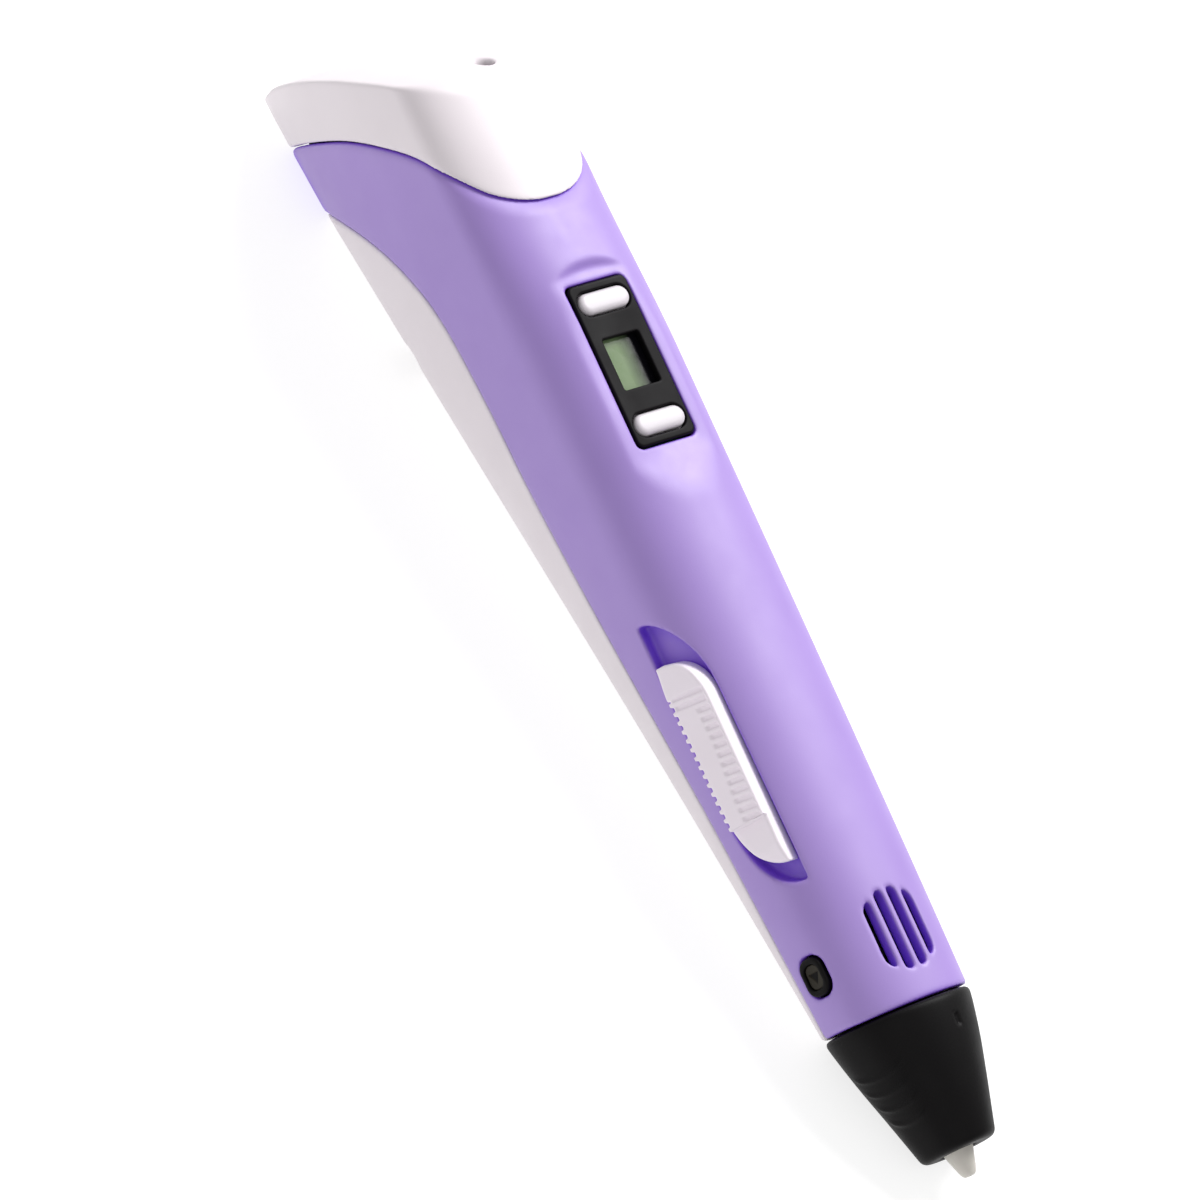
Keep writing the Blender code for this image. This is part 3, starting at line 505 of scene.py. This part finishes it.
# fmt: off
FINISHES = {
    "purple_plastic": moulded(
        "purple_plastic", srgb(158, 131, 202), srgb(154, 127, 198), 0.5, gloss=0.75,
        # painted shade: a deeper purple painted into the casing's recesses
        painted_shade_colour=srgb(124, 74, 216),
    ),
    "white_plastic": moulded("white_plastic", srgb(225, 217, 222), srgb(221, 213, 218), 0.42),
    "black_plastic": moulded("black_plastic", srgb(9, 7, 8), srgb(6, 5, 6), 0.5, 0.00003, 0.12),
    "panel_black": moulded("panel_black", srgb(12, 9, 12), srgb(9, 7, 10), 0.5, 0.000004, 0.1),
    "ceramic": moulded("ceramic", srgb(206, 202, 194), srgb(196, 192, 184), 0.5, 0.00003, glow=0.2),
    "ptfe": moulded("ptfe", srgb(232, 234, 234), srgb(222, 225, 226), 0.5, 0.00001, glow=0.4),
    "lead_red": moulded("lead_red", srgb(160, 32, 28), srgb(140, 26, 24), 0.5),
    "steel": metal("steel", srgb(190, 190, 193), 0.32, (1, 1, 0.06)),
    "brass": metal("brass", srgb(208, 170, 104), 0.34, (0.06, 1, 1)),
    "heater_sleeve": woven("heater_sleeve", srgb(205, 180, 135), srgb(140, 115, 78)),
    "board_green": circuit_board("board_green"),
    "lcd_glass": display_glass("lcd_glass"),
}
# fmt: on
KEY_WHITE = moulded("key_white", srgb(206, 200, 206), srgb(202, 196, 202), 0.36, 0.00001)
SLIDER_WHITE = moulded("slider_white", srgb(240, 231, 240), srgb(236, 227, 235), 0.55, gloss=0.3)
BUTTON_FACE = moulded("button_face", srgb(40, 35, 24), srgb(34, 30, 20), 0.5, gloss=0.25)

# ---------------------------------------------------------------- the casing

BACK = np.array((SLIDER_BACK.x, SLIDER_BACK.y, SLIDER_BACK.z))
FLANK_OUT = np.array((0, -math.cos(FLANK_TILT), math.sin(FLANK_TILT)))
FLANK_OUT -= FLANK_OUT.dot(BACK) * BACK
FLANK_OUT /= np.linalg.norm(FLANK_OUT)
FLANK_UP = np.cross(BACK, FLANK_OUT)


def in_flank(u, y, z):
    """The slider's frame: a towards the tail, b up the flank, height out of it."""
    x, y, z = -u - SLIDER_AT.x, y - SLIDER_AT.y, z - SLIDER_AT.z
    return [x * v[0] + y * v[1] + z * v[2] for v in (BACK, FLANK_UP, FLANK_OUT)]


def side_button_axes(side):
    out = np.array((0, side * math.cos(SIDE_BUTTON_TILT), math.sin(SIDE_BUTTON_TILT)))
    up = np.array((0, -side * math.sin(SIDE_BUTTON_TILT), math.cos(SIDE_BUTTON_TILT)))
    return np.array((1, 0, 0)), up, out


def in_side_button(side, u, y, z):
    """A side button's frame: a towards the nose, b up the flank, height out of it."""
    x, y, z = SIDE_BUTTON_U - u, y - side * SIDE_BUTTON_Y, z - SIDE_BUTTON_Z
    return [x * v[0] + y * v[1] + z * v[2] for v in side_button_axes(side)]


def leaf(more_length=0.0, more_width=0.0, steps=14):
    """The slider pocket's outline: straight sides, and a corner of each end swept off in an arc."""
    reach, half = POCKET_HALF_LENGTH + more_length, POCKET_HALF_WIDTH + more_width
    sweep = 11.8
    outline = []
    for side in (1, -1):
        for i in range(steps + 1):
            turn = math.pi / 2 * i / steps
            a = reach - sweep + sweep * math.cos(turn)
            b = -half + 2 * half * math.sin(turn)
            outline.append((side * a, side * b))
    return np.array(outline)


def local(axes, *bounds):
    """The slices of the axes that cover a box."""
    cuts = []
    for axis, (low, high) in zip(axes, bounds):
        cuts.append(slice(np.searchsorted(axis, low), np.searchsorted(axis, high)))
    return tuple(cuts)


def carve_here(field, axes, bounds, shape):
    """Changes the field inside a box only: shape takes it and the box's own grid."""
    cuts = local(axes, *bounds)
    grid = np.meshgrid(*(axis[cut] for axis, cut in zip(axes, cuts)), indexing="ij", sparse=True)
    field[cuts] = shape(field[cuts], *grid)


def above_parting(u, z):
    """Positive in the upper shell's part of the side view."""
    return left_of(smooth_through(PARTING), u, z)


def ahead_of_cap(u, z):
    """Positive ahead of the tail cap's edge."""
    return left_of(smooth_through(CAP_EDGE), u, z)


def joint_plane(u, z):
    """Positive ahead of the joint with the nose cone."""
    return (SHELL_FRONT + NOSE_GAP + JOINT_SLANT * z - u) / math.hypot(1, JOINT_SLANT)


def end_plane(axes, u, y, z, inset=0.0):
    """Positive behind the crowned end face."""
    flat = left_of(smooth_through(END_FACE), u, z)
    lean = np.gradient(flat, axes[0], axis=0)
    bow = END_CROWN * np.minimum(np.abs(y) / 12.5, 1.2) ** 2
    return inset - flat - bow * lean


def make_upper_shell():
    axes, u, y, z = lattice(
        ((22, 46, 0.4), (46, 100, 0.5), (100, 142, 0.42), (142, 158, 0.24), (158, 179.2, 0.5)),
        ((-14, 14, 0.35),),
        ((-39.6, -12, 0.45), (-12, 3, 0.33), (3, 10, 0.2)),
    )
    casing = casing_field(u, y, z, axes)
    body = smax(casing, joint_plane(u, z), 0.5)
    body = smax(body, SEAM_LINE / 2 - above_parting(u, z), 0.55)
    body = smax(body, SEAM_LINE / 2 - ahead_of_cap(u, z), 1.1)
    room = casing + WALL
    carve_here(room, axes, ((98, 140.5), (-9, 9), (5, 10)), pad_under_display)
    carve_here(room, axes, ((40, 92), (-14, -2), (-6, 10)), pad_under_slider)
    carve_here(room, axes, ((27, 42), (-7.5, 7.5), (5, 10)), pad_round_vent)
    for side in (-1, 1):
        span = (5, 14) if side > 0 else (-14, -5)
        carve_here(room, axes, ((26, 40), span, (-5, 8)), lambda f, *p: pad_at_button(f, side, *p))
    body = carve(body, room, 0.3)
    carve_here(body, axes, ((97, 141), (-9, 9), (3, 10)), cut_display)
    carve_here(body, axes, ((40, 92), (-14, -2), (-8, 10)), cut_slider_pocket)
    carve_here(body, axes, ((27, 42), (-7.5, 7.5), (3, 10)), cut_vent)
    for side in (-1, 1):
        span = (5, 14) if side > 0 else (-14, -5)
        carve_here(body, axes, ((26, 40), span, (-5, 8)), lambda f, *p: cut_side(f, side, *p))
    return axes, body


def pad_under_display(room, u, y, z):
    pad = np.maximum(np.maximum(np.abs(u - 119.1) - 20.1, np.abs(y) - 7.6), 6.1 - z)
    return carve(room, pad)


def pad_under_slider(room, u, y, z):
    a, b, height = in_flank(u, y, z)
    pad = smax(inside_of(leaf(1.3, 1.3), a, b), POCKET_FLOOR - 1.2 - height, 0.3)
    return carve(room, pad)


def pad_round_vent(room, u, y, z):
    pad = smax(np.hypot(u - VENT_U, y) - VENT_RADIUS - 1.2, 6.9 - z, 0.3)
    return carve(room, pad)


def pad_at_button(room, side, u, y, z):
    a, b, height = in_side_button(side, u, y, z)
    return carve(room, smax(round_box(a, b, 8.4, 7.4, 2.0), -1.7 - height, 0.3))


def cut_display(body, u, y, z):
    """The display's facet: a ramp ahead of it, and a hollow with a bowed, leaning step behind."""
    ramp = RAMP_SLOPE * (RAMP_START - u) - 0.3 * (y / 6.5) ** 2
    hollow = HOLLOW_DROP * ease((u - 131) / 5)
    floor = smax(FACET_Z - hollow, FACET_Z + ramp, 0.25)
    behind = u - STEP_U + 0.9 * (y / 6.0) ** 2
    step = behind - STEP_LEAN * (z - FACET_Z + HOLLOW_DROP)
    facet = smax(floor - z, step / math.hypot(1, STEP_LEAN), 0.3)
    facet = smax(facet, np.abs(y) - 7.4, 0.5)
    body = carve(body, facet, 0.45)
    opening = round_box(u - PANEL_U, y, PANEL_LENGTH + 0.5, PANEL_WIDTH + 0.5, 1.2)
    return carve(body, opening, 0.25)


def cut_slider_pocket(body, u, y, z):
    a, b, height = in_flank(u, y, z)
    outline = inside_of(leaf(), a, b)
    pocket = smax(outline, POCKET_FLOOR - height, 0.5)
    lip = 0.35 + 0.25 * ease((b + 1.0) / 4.0)
    body = carve(body, pocket, lip)
    slot = smax(round_box(a - 1.8, b, 8.6, 2.2, 1.0), np.abs(height + 2) - 4, 0.2)
    return carve(body, slot, 0.25)


def cut_vent(body, u, y, z):
    round_end = np.hypot(u - VENT_U, y) - VENT_RADIUS
    row = np.abs(y) - SLOT_PITCH
    slots = np.abs(np.abs(row) - SLOT_PITCH / 2) - SLOT_WIDTH / 2
    tool = smax(smax(slots, round_end, 0.7), 5.0 - z, 0.2)
    return carve(body, tool, 0.3)


def cut_side(body, side, u, y, z):
    a, b, height = in_side_button(side, u, y, z)
    tool = smax(round_box(a, b, 6.0, 4.6, 1.95), -3.0 - height, 0.2)
    return carve(body, tool, 0.35)


def make_lower_shell():
    axes, u, y, z = lattice(
        ((22, 170.2, 0.55),), ((-14, 14, 0.42),), ((-40.5, -12, 0.5), (-12, -1, 0.35))
    )
    parting = above_parting(u, z)
    casing = casing_field(u, y, z, axes)
    body = smax(casing + 0.1, joint_plane(u, z), 0.5)
    body = smax(body, parting + SEAM_LINE / 2, 0.45)
    body = carve(body, casing + WALL, 0.3)
    for screw_u, screw_y in SCREWS:
        away = np.hypot(u - screw_u, y - screw_y)
        post = smax(smax(away - 2.9, z + 3.4, 0.3), casing + 0.5, 0.3)
        body = smin(body, smax(post, parting + SEAM_LINE / 2, 0.3), 0.4)
        body = carve(body, smax(away - 2.1, z + 6.4, 0.2), 0.35)
        body = carve(body, smax(away - 1.1, z, 0.2), 0.2)
    return axes, body


def make_tail_cap():
    axes, u, y, z = lattice(
        ((142, 158, 0.22), (158, 187.4, 0.36)),
        ((-14, 14, 0.34),),
        ((-38.2, 3, 0.38), (3, 9.4, 0.2)),
    )
    casing = casing_field(u, y, z, axes)
    skin = smax(casing + 0.08, -CAP_HEEL - z, 0.4)
    skin = smax(skin, end_plane(axes, u, y, z), 0.6)
    body = smax(skin, ahead_of_cap(u, z) + SEAM_LINE / 2, 0.45)
    room = smax(casing + WALL, end_plane(axes, u, y, z, CAP_WALL), 0.4)
    room = smax(room, -CAP_HEEL + CAP_WALL - z, 0.4)
    body = carve(body, room, 0.3)
    inlet = np.hypot(y - FILAMENT_Y, z - INLET_RISE * (u - DRIVE_U)) - 1.7
    body = carve(body, smax(inlet, 158 - u, 0.2), 0.8)
    recess = smax(np.hypot(y, z - JACK_Z) - 4.4, JACK_FACE - u, 0.2)
    return axes, carve(body, recess, 0.7)


def make_nose():
    axes, u, y, z = lattice(((3.4, 28.2, 0.22),), ((-12, 12, 0.24),), ((-10, 10.8, 0.24),))
    widths = ((3.0, 5.1), (4.5, 5.6), (8, 6.65), (12, 7.9), (17, 9.5), (21.8, 10.8), (25, 11.45))
    tops = ((3.0, 5.8), (4.5, 6.15), (8, 7.15), (12, 8.2), (17, 9.25), (21.8, 9.95), (25, 10.08))
    floors = ((3.0, 4.9), (4.5, 5.25), (8, 6.0), (12, 6.8), (17, 7.8), (21.8, 8.7), (25, 9.3))
    curves = [smooth_through(rows) for rows in (widths, tops, floors)]

    def round_about(width, top, bottom):
        ratio = np.hypot(y / width, z / np.where(z > 0, top, bottom)) + 0 * u
        slope = np.sqrt(sum(g * g for g in np.gradient(ratio, *axes)))
        return (ratio - 1) / np.maximum(slope, 0.03)

    skin = round_about(*(np.interp(u, curve[:, 0], curve[:, 1]) for curve in curves))
    angle = np.degrees(np.arctan2(-z, np.abs(y)))
    for i in range(4):
        bend = u - (16.6 - 2.35 * i) - 0.0015 * (angle + 16) ** 2
        reach = ease((angle + 44) / 14) * ease((20 - angle) / 14) * ease(-y)
        skin = skin - 0.3 * np.exp(-((bend / 0.36) ** 2)) * reach
    notch = np.maximum(np.abs(u - 19.8) - 0.85, np.abs(y - 1.9) - 0.4)
    skin = skin + 0.28 * ease(0.5 - notch / 0.4) * (z > 0)
    back = u - SHELL_FRONT - JOINT_SLANT * z
    cone = smax(smax(skin, back, 1.0), 3.7 - u, 1.0)
    collar = [half_width(SHELL_FRONT) - WALL - 0.6, 7.2, 7.1]
    sleeve = smax(round_about(*collar), u - SHELL_FRONT - 3.3, 0.3)
    sleeve = smax(sleeve, 20 - u, 0.3)
    inner = ((6.2, 4.4, 4.4, 4.1), (12, 6.0, 5.7, 5.3), (20, 8.0, 6.6, 6.2), (29.3, 7.9, 6.0, 5.9))
    rows = np.array(inner)
    room = round_about(*(np.interp(u, rows[:, 0], rows[:, i]) for i in (1, 2, 3)))
    room = smin(smax(room, 6.2 - u, 0.3), np.hypot(y, z) - 2.6, 0.2)
    return axes, carve(smin(cone, sleeve, 0.2), room, 0.35)


# ---------------------------------------------------------------- controls


def make_panel():
    axes, u, y, z = lattice(((108.8, 133.8, 0.14),), ((-5.5, 5.5, 0.14),), ((6.7, 8.0, 0.12),))
    body = round_box(u - PANEL_U, y, PANEL_LENGTH, PANEL_WIDTH, 1.1)
    middle, half = (PANEL_TOP + PANEL_BOTTOM) / 2, (PANEL_TOP - PANEL_BOTTOM) / 2
    body = smax(body, np.abs(z - middle) - half, 0.3)
    body = carve(body, round_box(u - PANEL_U, y, 7.8, 6.6, 0.35) + 0 * z, 0.2)
    for shift in (BUTTON_OFFSET, -BUTTON_OFFSET):
        body = carve(body, capsule(u - PANEL_U - shift, y, 9.3, 3.7) + 0 * z, 0.2)
    return axes, body


def make_key(at):
    axes, u, y, z = lattice(((at - 2.3, at + 2.3, 0.1),), ((-5.1, 5.1, 0.12),), ((5.9, 8.5, 0.1),))
    crown = 8.35 - 0.05 * (y / 4.4) ** 2 - 0.1 * ((u - at) / 1.6) ** 2
    stem = smax(capsule(u - at, y, 8.8, 3.2), z - crown, 0.8)
    flange = smax(capsule(u - at, y, 9.7, 4.1), z - 6.5, 0.2)
    return axes, smax(smin(stem, flange, 0.2), 6.0 - z, 0.2)


def make_slider():
    """Fifteen ribs: short ones beside a smooth thumb track, two long ones at the rear, and teeth
    along the lower edge; ahead of them a step, and a smooth swept tongue."""
    axes, a, b, height = lattice(((-18.2, 14.8, 0.12),), ((-3.9, 3.9, 0.13),), ((-2.1, 2.2, 0.13),))
    half = POCKET_HALF_WIDTH - 0.3
    tip = half - 0.3
    turns = np.linspace(0, math.pi / 2, 16)
    rear = np.stack([14.2 + 6.4 * (np.cos(turns) - 1), -1.8 + (half + 1.8) * np.sin(turns)], 1)
    rear[0, 0] += 0.15
    front = np.stack([-8.0 - 9.6 * np.cos(turns), tip - (half + tip) * np.sin(turns)], 1)
    plan = inside_of(np.vstack([rear, front, [(14.4, -half)]]), a, b)
    ahead = RIBS_FRONT - a
    ribbed = ease((0.1 - ahead) / 0.15) * ease((RIBS_REAR - a) / 0.4)
    wave = 0.5 - 0.5 * np.cos(math.tau * (0.12 * (b + 3) - 0.35 - ahead) / RIB_PITCH)
    groove = ease((wave - 0.25) / 0.5) * ribbed
    start = 0.5 - 0.9 * ease((2 - a) / 11) - 3.2 * ease((a - 6.6) / 0.8)
    beside = ease((b - start) / 0.7) * ease((2.95 - b) / 0.3)
    teeth = ease((-2.55 - b) / 0.5)
    plan = plan + 0.42 * groove * teeth
    tongue = 0.95 + 0.035 * ahead - 0.9 * ease((-14.5 - a) / 4.5)
    top = np.where(ahead > 0, tongue, 1.72)
    top = top - 0.75 * ease((a - 9.4) / 5.2) - 0.05 * (b / half) ** 2
    top = top - groove * (0.34 * beside + 0.5 * teeth)
    body = smax(plan, height - top, 0.55)
    body = smax(body, POCKET_FLOOR + 0.35 - height, 0.2)
    lever = smax(round_box(a, b, 3.2, 1.9, 0.2), height + 0.5, 0.1)
    return axes, carve(body, lever, 0.15)


def flank_place(points):
    spot = np.array(SLIDER_AT) + points @ np.array((BACK, FLANK_UP, FLANK_OUT))
    return ORIGIN + (spot * MM) @ TIP.T


def flank_turn(directions):
    return (directions @ np.array((BACK, FLANK_UP, FLANK_OUT))) @ TIP.T


def make_side_button():
    """A side button's rim, stem and flange, with a seat for its face."""
    axes, a, b, height = lattice(((-3.7, 3.7, 0.1),), ((-2.9, 2.9, 0.1),), ((-3.1, 0.6, 0.1),))
    plan = round_box(a, b, 5.5, 4.1, 1.72)
    stem = smax(plan, height - 0.35, 0.5)
    flange = smax(round_box(a, b, 6.9, 5.2, 2.1), height + 2.35, 0.2)
    body = smax(smin(stem, flange, 0.2), -3.0 - height, 0.2)
    return axes, carve(body, smax(round_box(a, b, 3.6, 2.6, 1.1), -0.25 - height, 0.3), 0.3)


def make_button_face():
    """A dished face with a small arrow sunk into it."""
    axes, a, b, height = lattice(((-2.1, 2.1, 0.07),), ((-1.7, 1.7, 0.07),), ((-0.6, 0.3, 0.07),))
    plan = round_box(a, b, 3.5, 2.5, 1.05)
    dish = 0.1 - 0.28 * np.exp(-((a / 1.6) ** 2 + (b / 1.2) ** 2))
    face = smax(smax(plan, height - dish, 0.15), -0.45 - height, 0.1)
    arrow = np.maximum(-0.6 - a, 0.5 * (a - 0.95) + 0.866 * np.abs(b))
    return axes, carve(face, smax(arrow, -0.26 - height, 0.1), 0.12)


def button_frame(side):
    basis = np.array(side_button_axes(side))
    centre = np.array((-SIDE_BUTTON_U, side * SIDE_BUTTON_Y, SIDE_BUTTON_Z))

    def place(points):
        return ORIGIN + ((centre + points @ basis) * MM) @ TIP.T

    def turn(directions):
        return (directions @ basis) @ TIP.T

    return place, turn


def turned(name, profile, finish, node, body, sides=72):
    """A solid turned about the nozzle's axis from a closed profile of (u, radius)."""
    angles = np.linspace(0, math.tau, sides, endpoint=False)
    points, faces = [], []
    for u, radius in profile:
        points += [(u, radius * math.cos(t), radius * math.sin(t)) for t in angles]
    for row in range(len(profile)):
        start, following = row * sides, (row + 1) % len(profile) * sides
        for i in range(sides):
            j = (i + 1) % sides
            faces.append((start + i, start + j, following + j, following + i))
    mesh = bpy.data.meshes.new(name)
    mesh.from_pydata(to_row(np.array(points)).tolist(), [], faces)
    mesh.shade_smooth()
    mesh.set_sharp_from_angle(angle=math.radians(40))
    return settle(name, mesh, finish, node, body)


def make_pieces():
    pen = (to_row, to_row_direction)
    for name, node, make, slot in (
        ("upper_casing", "upper_shell", make_upper_shell, "purple_plastic"),
        ("lower_casing", "lower_shell", make_lower_shell, "white_plastic"),
        ("tail_casing", "tail_cap", make_tail_cap, "white_plastic"),
        ("nose_casing", "nose_cone", make_nose, "black_plastic"),
        ("display_bezel", "display_panel", make_panel, "panel_black"),
    ):
        axes, field = make()
        piece(name, field, axes, *pen, FINISHES[slot], node, "housing", slot)
    for name, shift in (("temp_up", BUTTON_OFFSET), ("temp_down", -BUTTON_OFFSET)):
        axes, field = make_key(PANEL_U + shift)
        node = f"{name}_button"
        piece(f"{name}_key", field, axes, *pen, KEY_WHITE, node, node, "white_plastic")
    axes, field = make_slider()
    thumb = (flank_place, flank_turn, SLIDER_WHITE, "speed_slider", "speed_slider", "white_plastic")
    piece("speed_thumb", field, axes, *thumb)
    black = FINISHES["black_plastic"]
    for name, side in (("feed", -1), ("retract", 1)):
        frame_of = button_frame(side)
        node = f"{name}_button"
        axes, field = make_side_button()
        piece(f"{name}_cap", field, axes, *frame_of, black, node, node, "black_plastic", side > 0)
        axes, field = make_button_face()
        face = (*frame_of, BUTTON_FACE, None, node, "black_plastic", side > 0)
        piece(f"{name}_face", field, axes, *face)
    tip = [(10.6, 2.3), (4.5, 2.3), (3.9, 2.22), (0.9, 1.29), (0.4, 1.08), (0.1, 0.86), (0.0, 0.6)]
    bore = [(0.0, 0.4), (3.2, 0.4), (4.2, 1.05), (10.6, 1.05)]
    ceramic = FINISHES["ceramic"]
    turned("nozzle_tip", tip + bore, ceramic, "ceramic_nozzle", "housing")


def dress_frame():
    """Each CAD node that still shows takes the finish of its record slot."""
    slots = {s["node"]: s["material_slot"] for s in frame["record"]["subparts"]}
    for name, obj in frame["nodes"].items():
        obj.data.materials.clear()
        obj.data.materials.append(FINISHES[slots[name]])


def compress_spring():
    """Gives the idler's spring a mesh of its own; the spring is not shortened, and the tab's place goes unused."""
    spring, tab = frame["nodes"]["idler_spring"], to_row(np.array(SPRING_TAB))
    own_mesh(spring)


# ---------------------------------------------------------------- studio


def aim(obj, target, up=None):
    """Points an object's -Z at the target, with up, if given, towards the top of the picture."""
    look = (Vector(target) - obj.location).normalized()
    if up is None:
        obj.rotation_euler = look.to_track_quat("-Z", "Y").to_euler()
        return
    right = look.cross(Vector(up)).normalized()
    above = right.cross(look)
    obj.rotation_euler = Matrix((right, above, -look)).transposed().to_euler()


def make_camera():
    data = bpy.data.cameras.new("camera")
    camera = bpy.data.objects.new("camera", data)
    bpy.context.scene.collection.objects.link(camera)
    camera.location = (0.3047, -0.6370, 0.7586)
    aim(camera, (-0.0052, 0.0023, 0.0), (-0.8117, 0.2391, 0.5330))
    data.lens = 221.1
    data.sensor_width = 36
    data.clip_start = 0.01
    data.clip_end = 20
    bpy.context.scene.camera = camera


def make_light(name, location, size, power, colour=(1, 1, 1)):
    data = bpy.data.lights.new(name, "AREA")
    data.shape = "RECTANGLE"
    data.size, data.size_y = size
    data.energy = power
    data.color = colour
    lamp = bpy.data.objects.new(name, data)
    bpy.context.scene.collection.objects.link(lamp)
    lamp.location = location
    aim(lamp, (0, 0, 0.01))


def make_studio():
    world = bpy.data.worlds.new("studio")
    world.use_nodes = True
    world.node_tree.nodes["Background"].inputs["Color"].default_value = (1, 1, 1, 1)
    world.node_tree.nodes["Background"].inputs["Strength"].default_value = 0.5
    bpy.context.scene.world = world
    make_light("key", (-0.4, 0.75, 1.0), (0.8, 0.6), 20.0)
    make_light("fill", (0.6, -0.5, 0.7), (0.7, 0.7), 1.0)
    make_light("tail", (-0.9, 0.2, 0.6), (0.6, 0.6), 0.6)
    floor = bpy.data.meshes.new("floor")
    rim = [(6 * math.cos(math.tau * i / 96), 6 * math.sin(math.tau * i / 96), 0) for i in range(96)]
    floor.from_pydata(rim, [], [tuple(range(96))])
    nodes = Nodes("studio_floor")
    tone = nodes.spread(nodes.noise(3, 2), 0, 1)
    nodes.set(Base_Color=nodes.mix(tone, (0.35, 0.35, 0.35), (0.37, 0.37, 0.37)), Roughness=0.8)
    nodes.set(Emission_Color=(1, 1, 1), Emission_Strength=0.78, Specular_IOR_Level=0.05)
    floor.materials.append(nodes.material)
    sheet = bpy.data.objects.new("floor", floor)
    bpy.context.scene.collection.objects.link(sheet)
    view = bpy.context.scene.view_settings
    view.view_transform = "Standard"
    view.look = "None"


make_camera()
make_pieces()
dress_frame()
compress_spring()
make_studio()
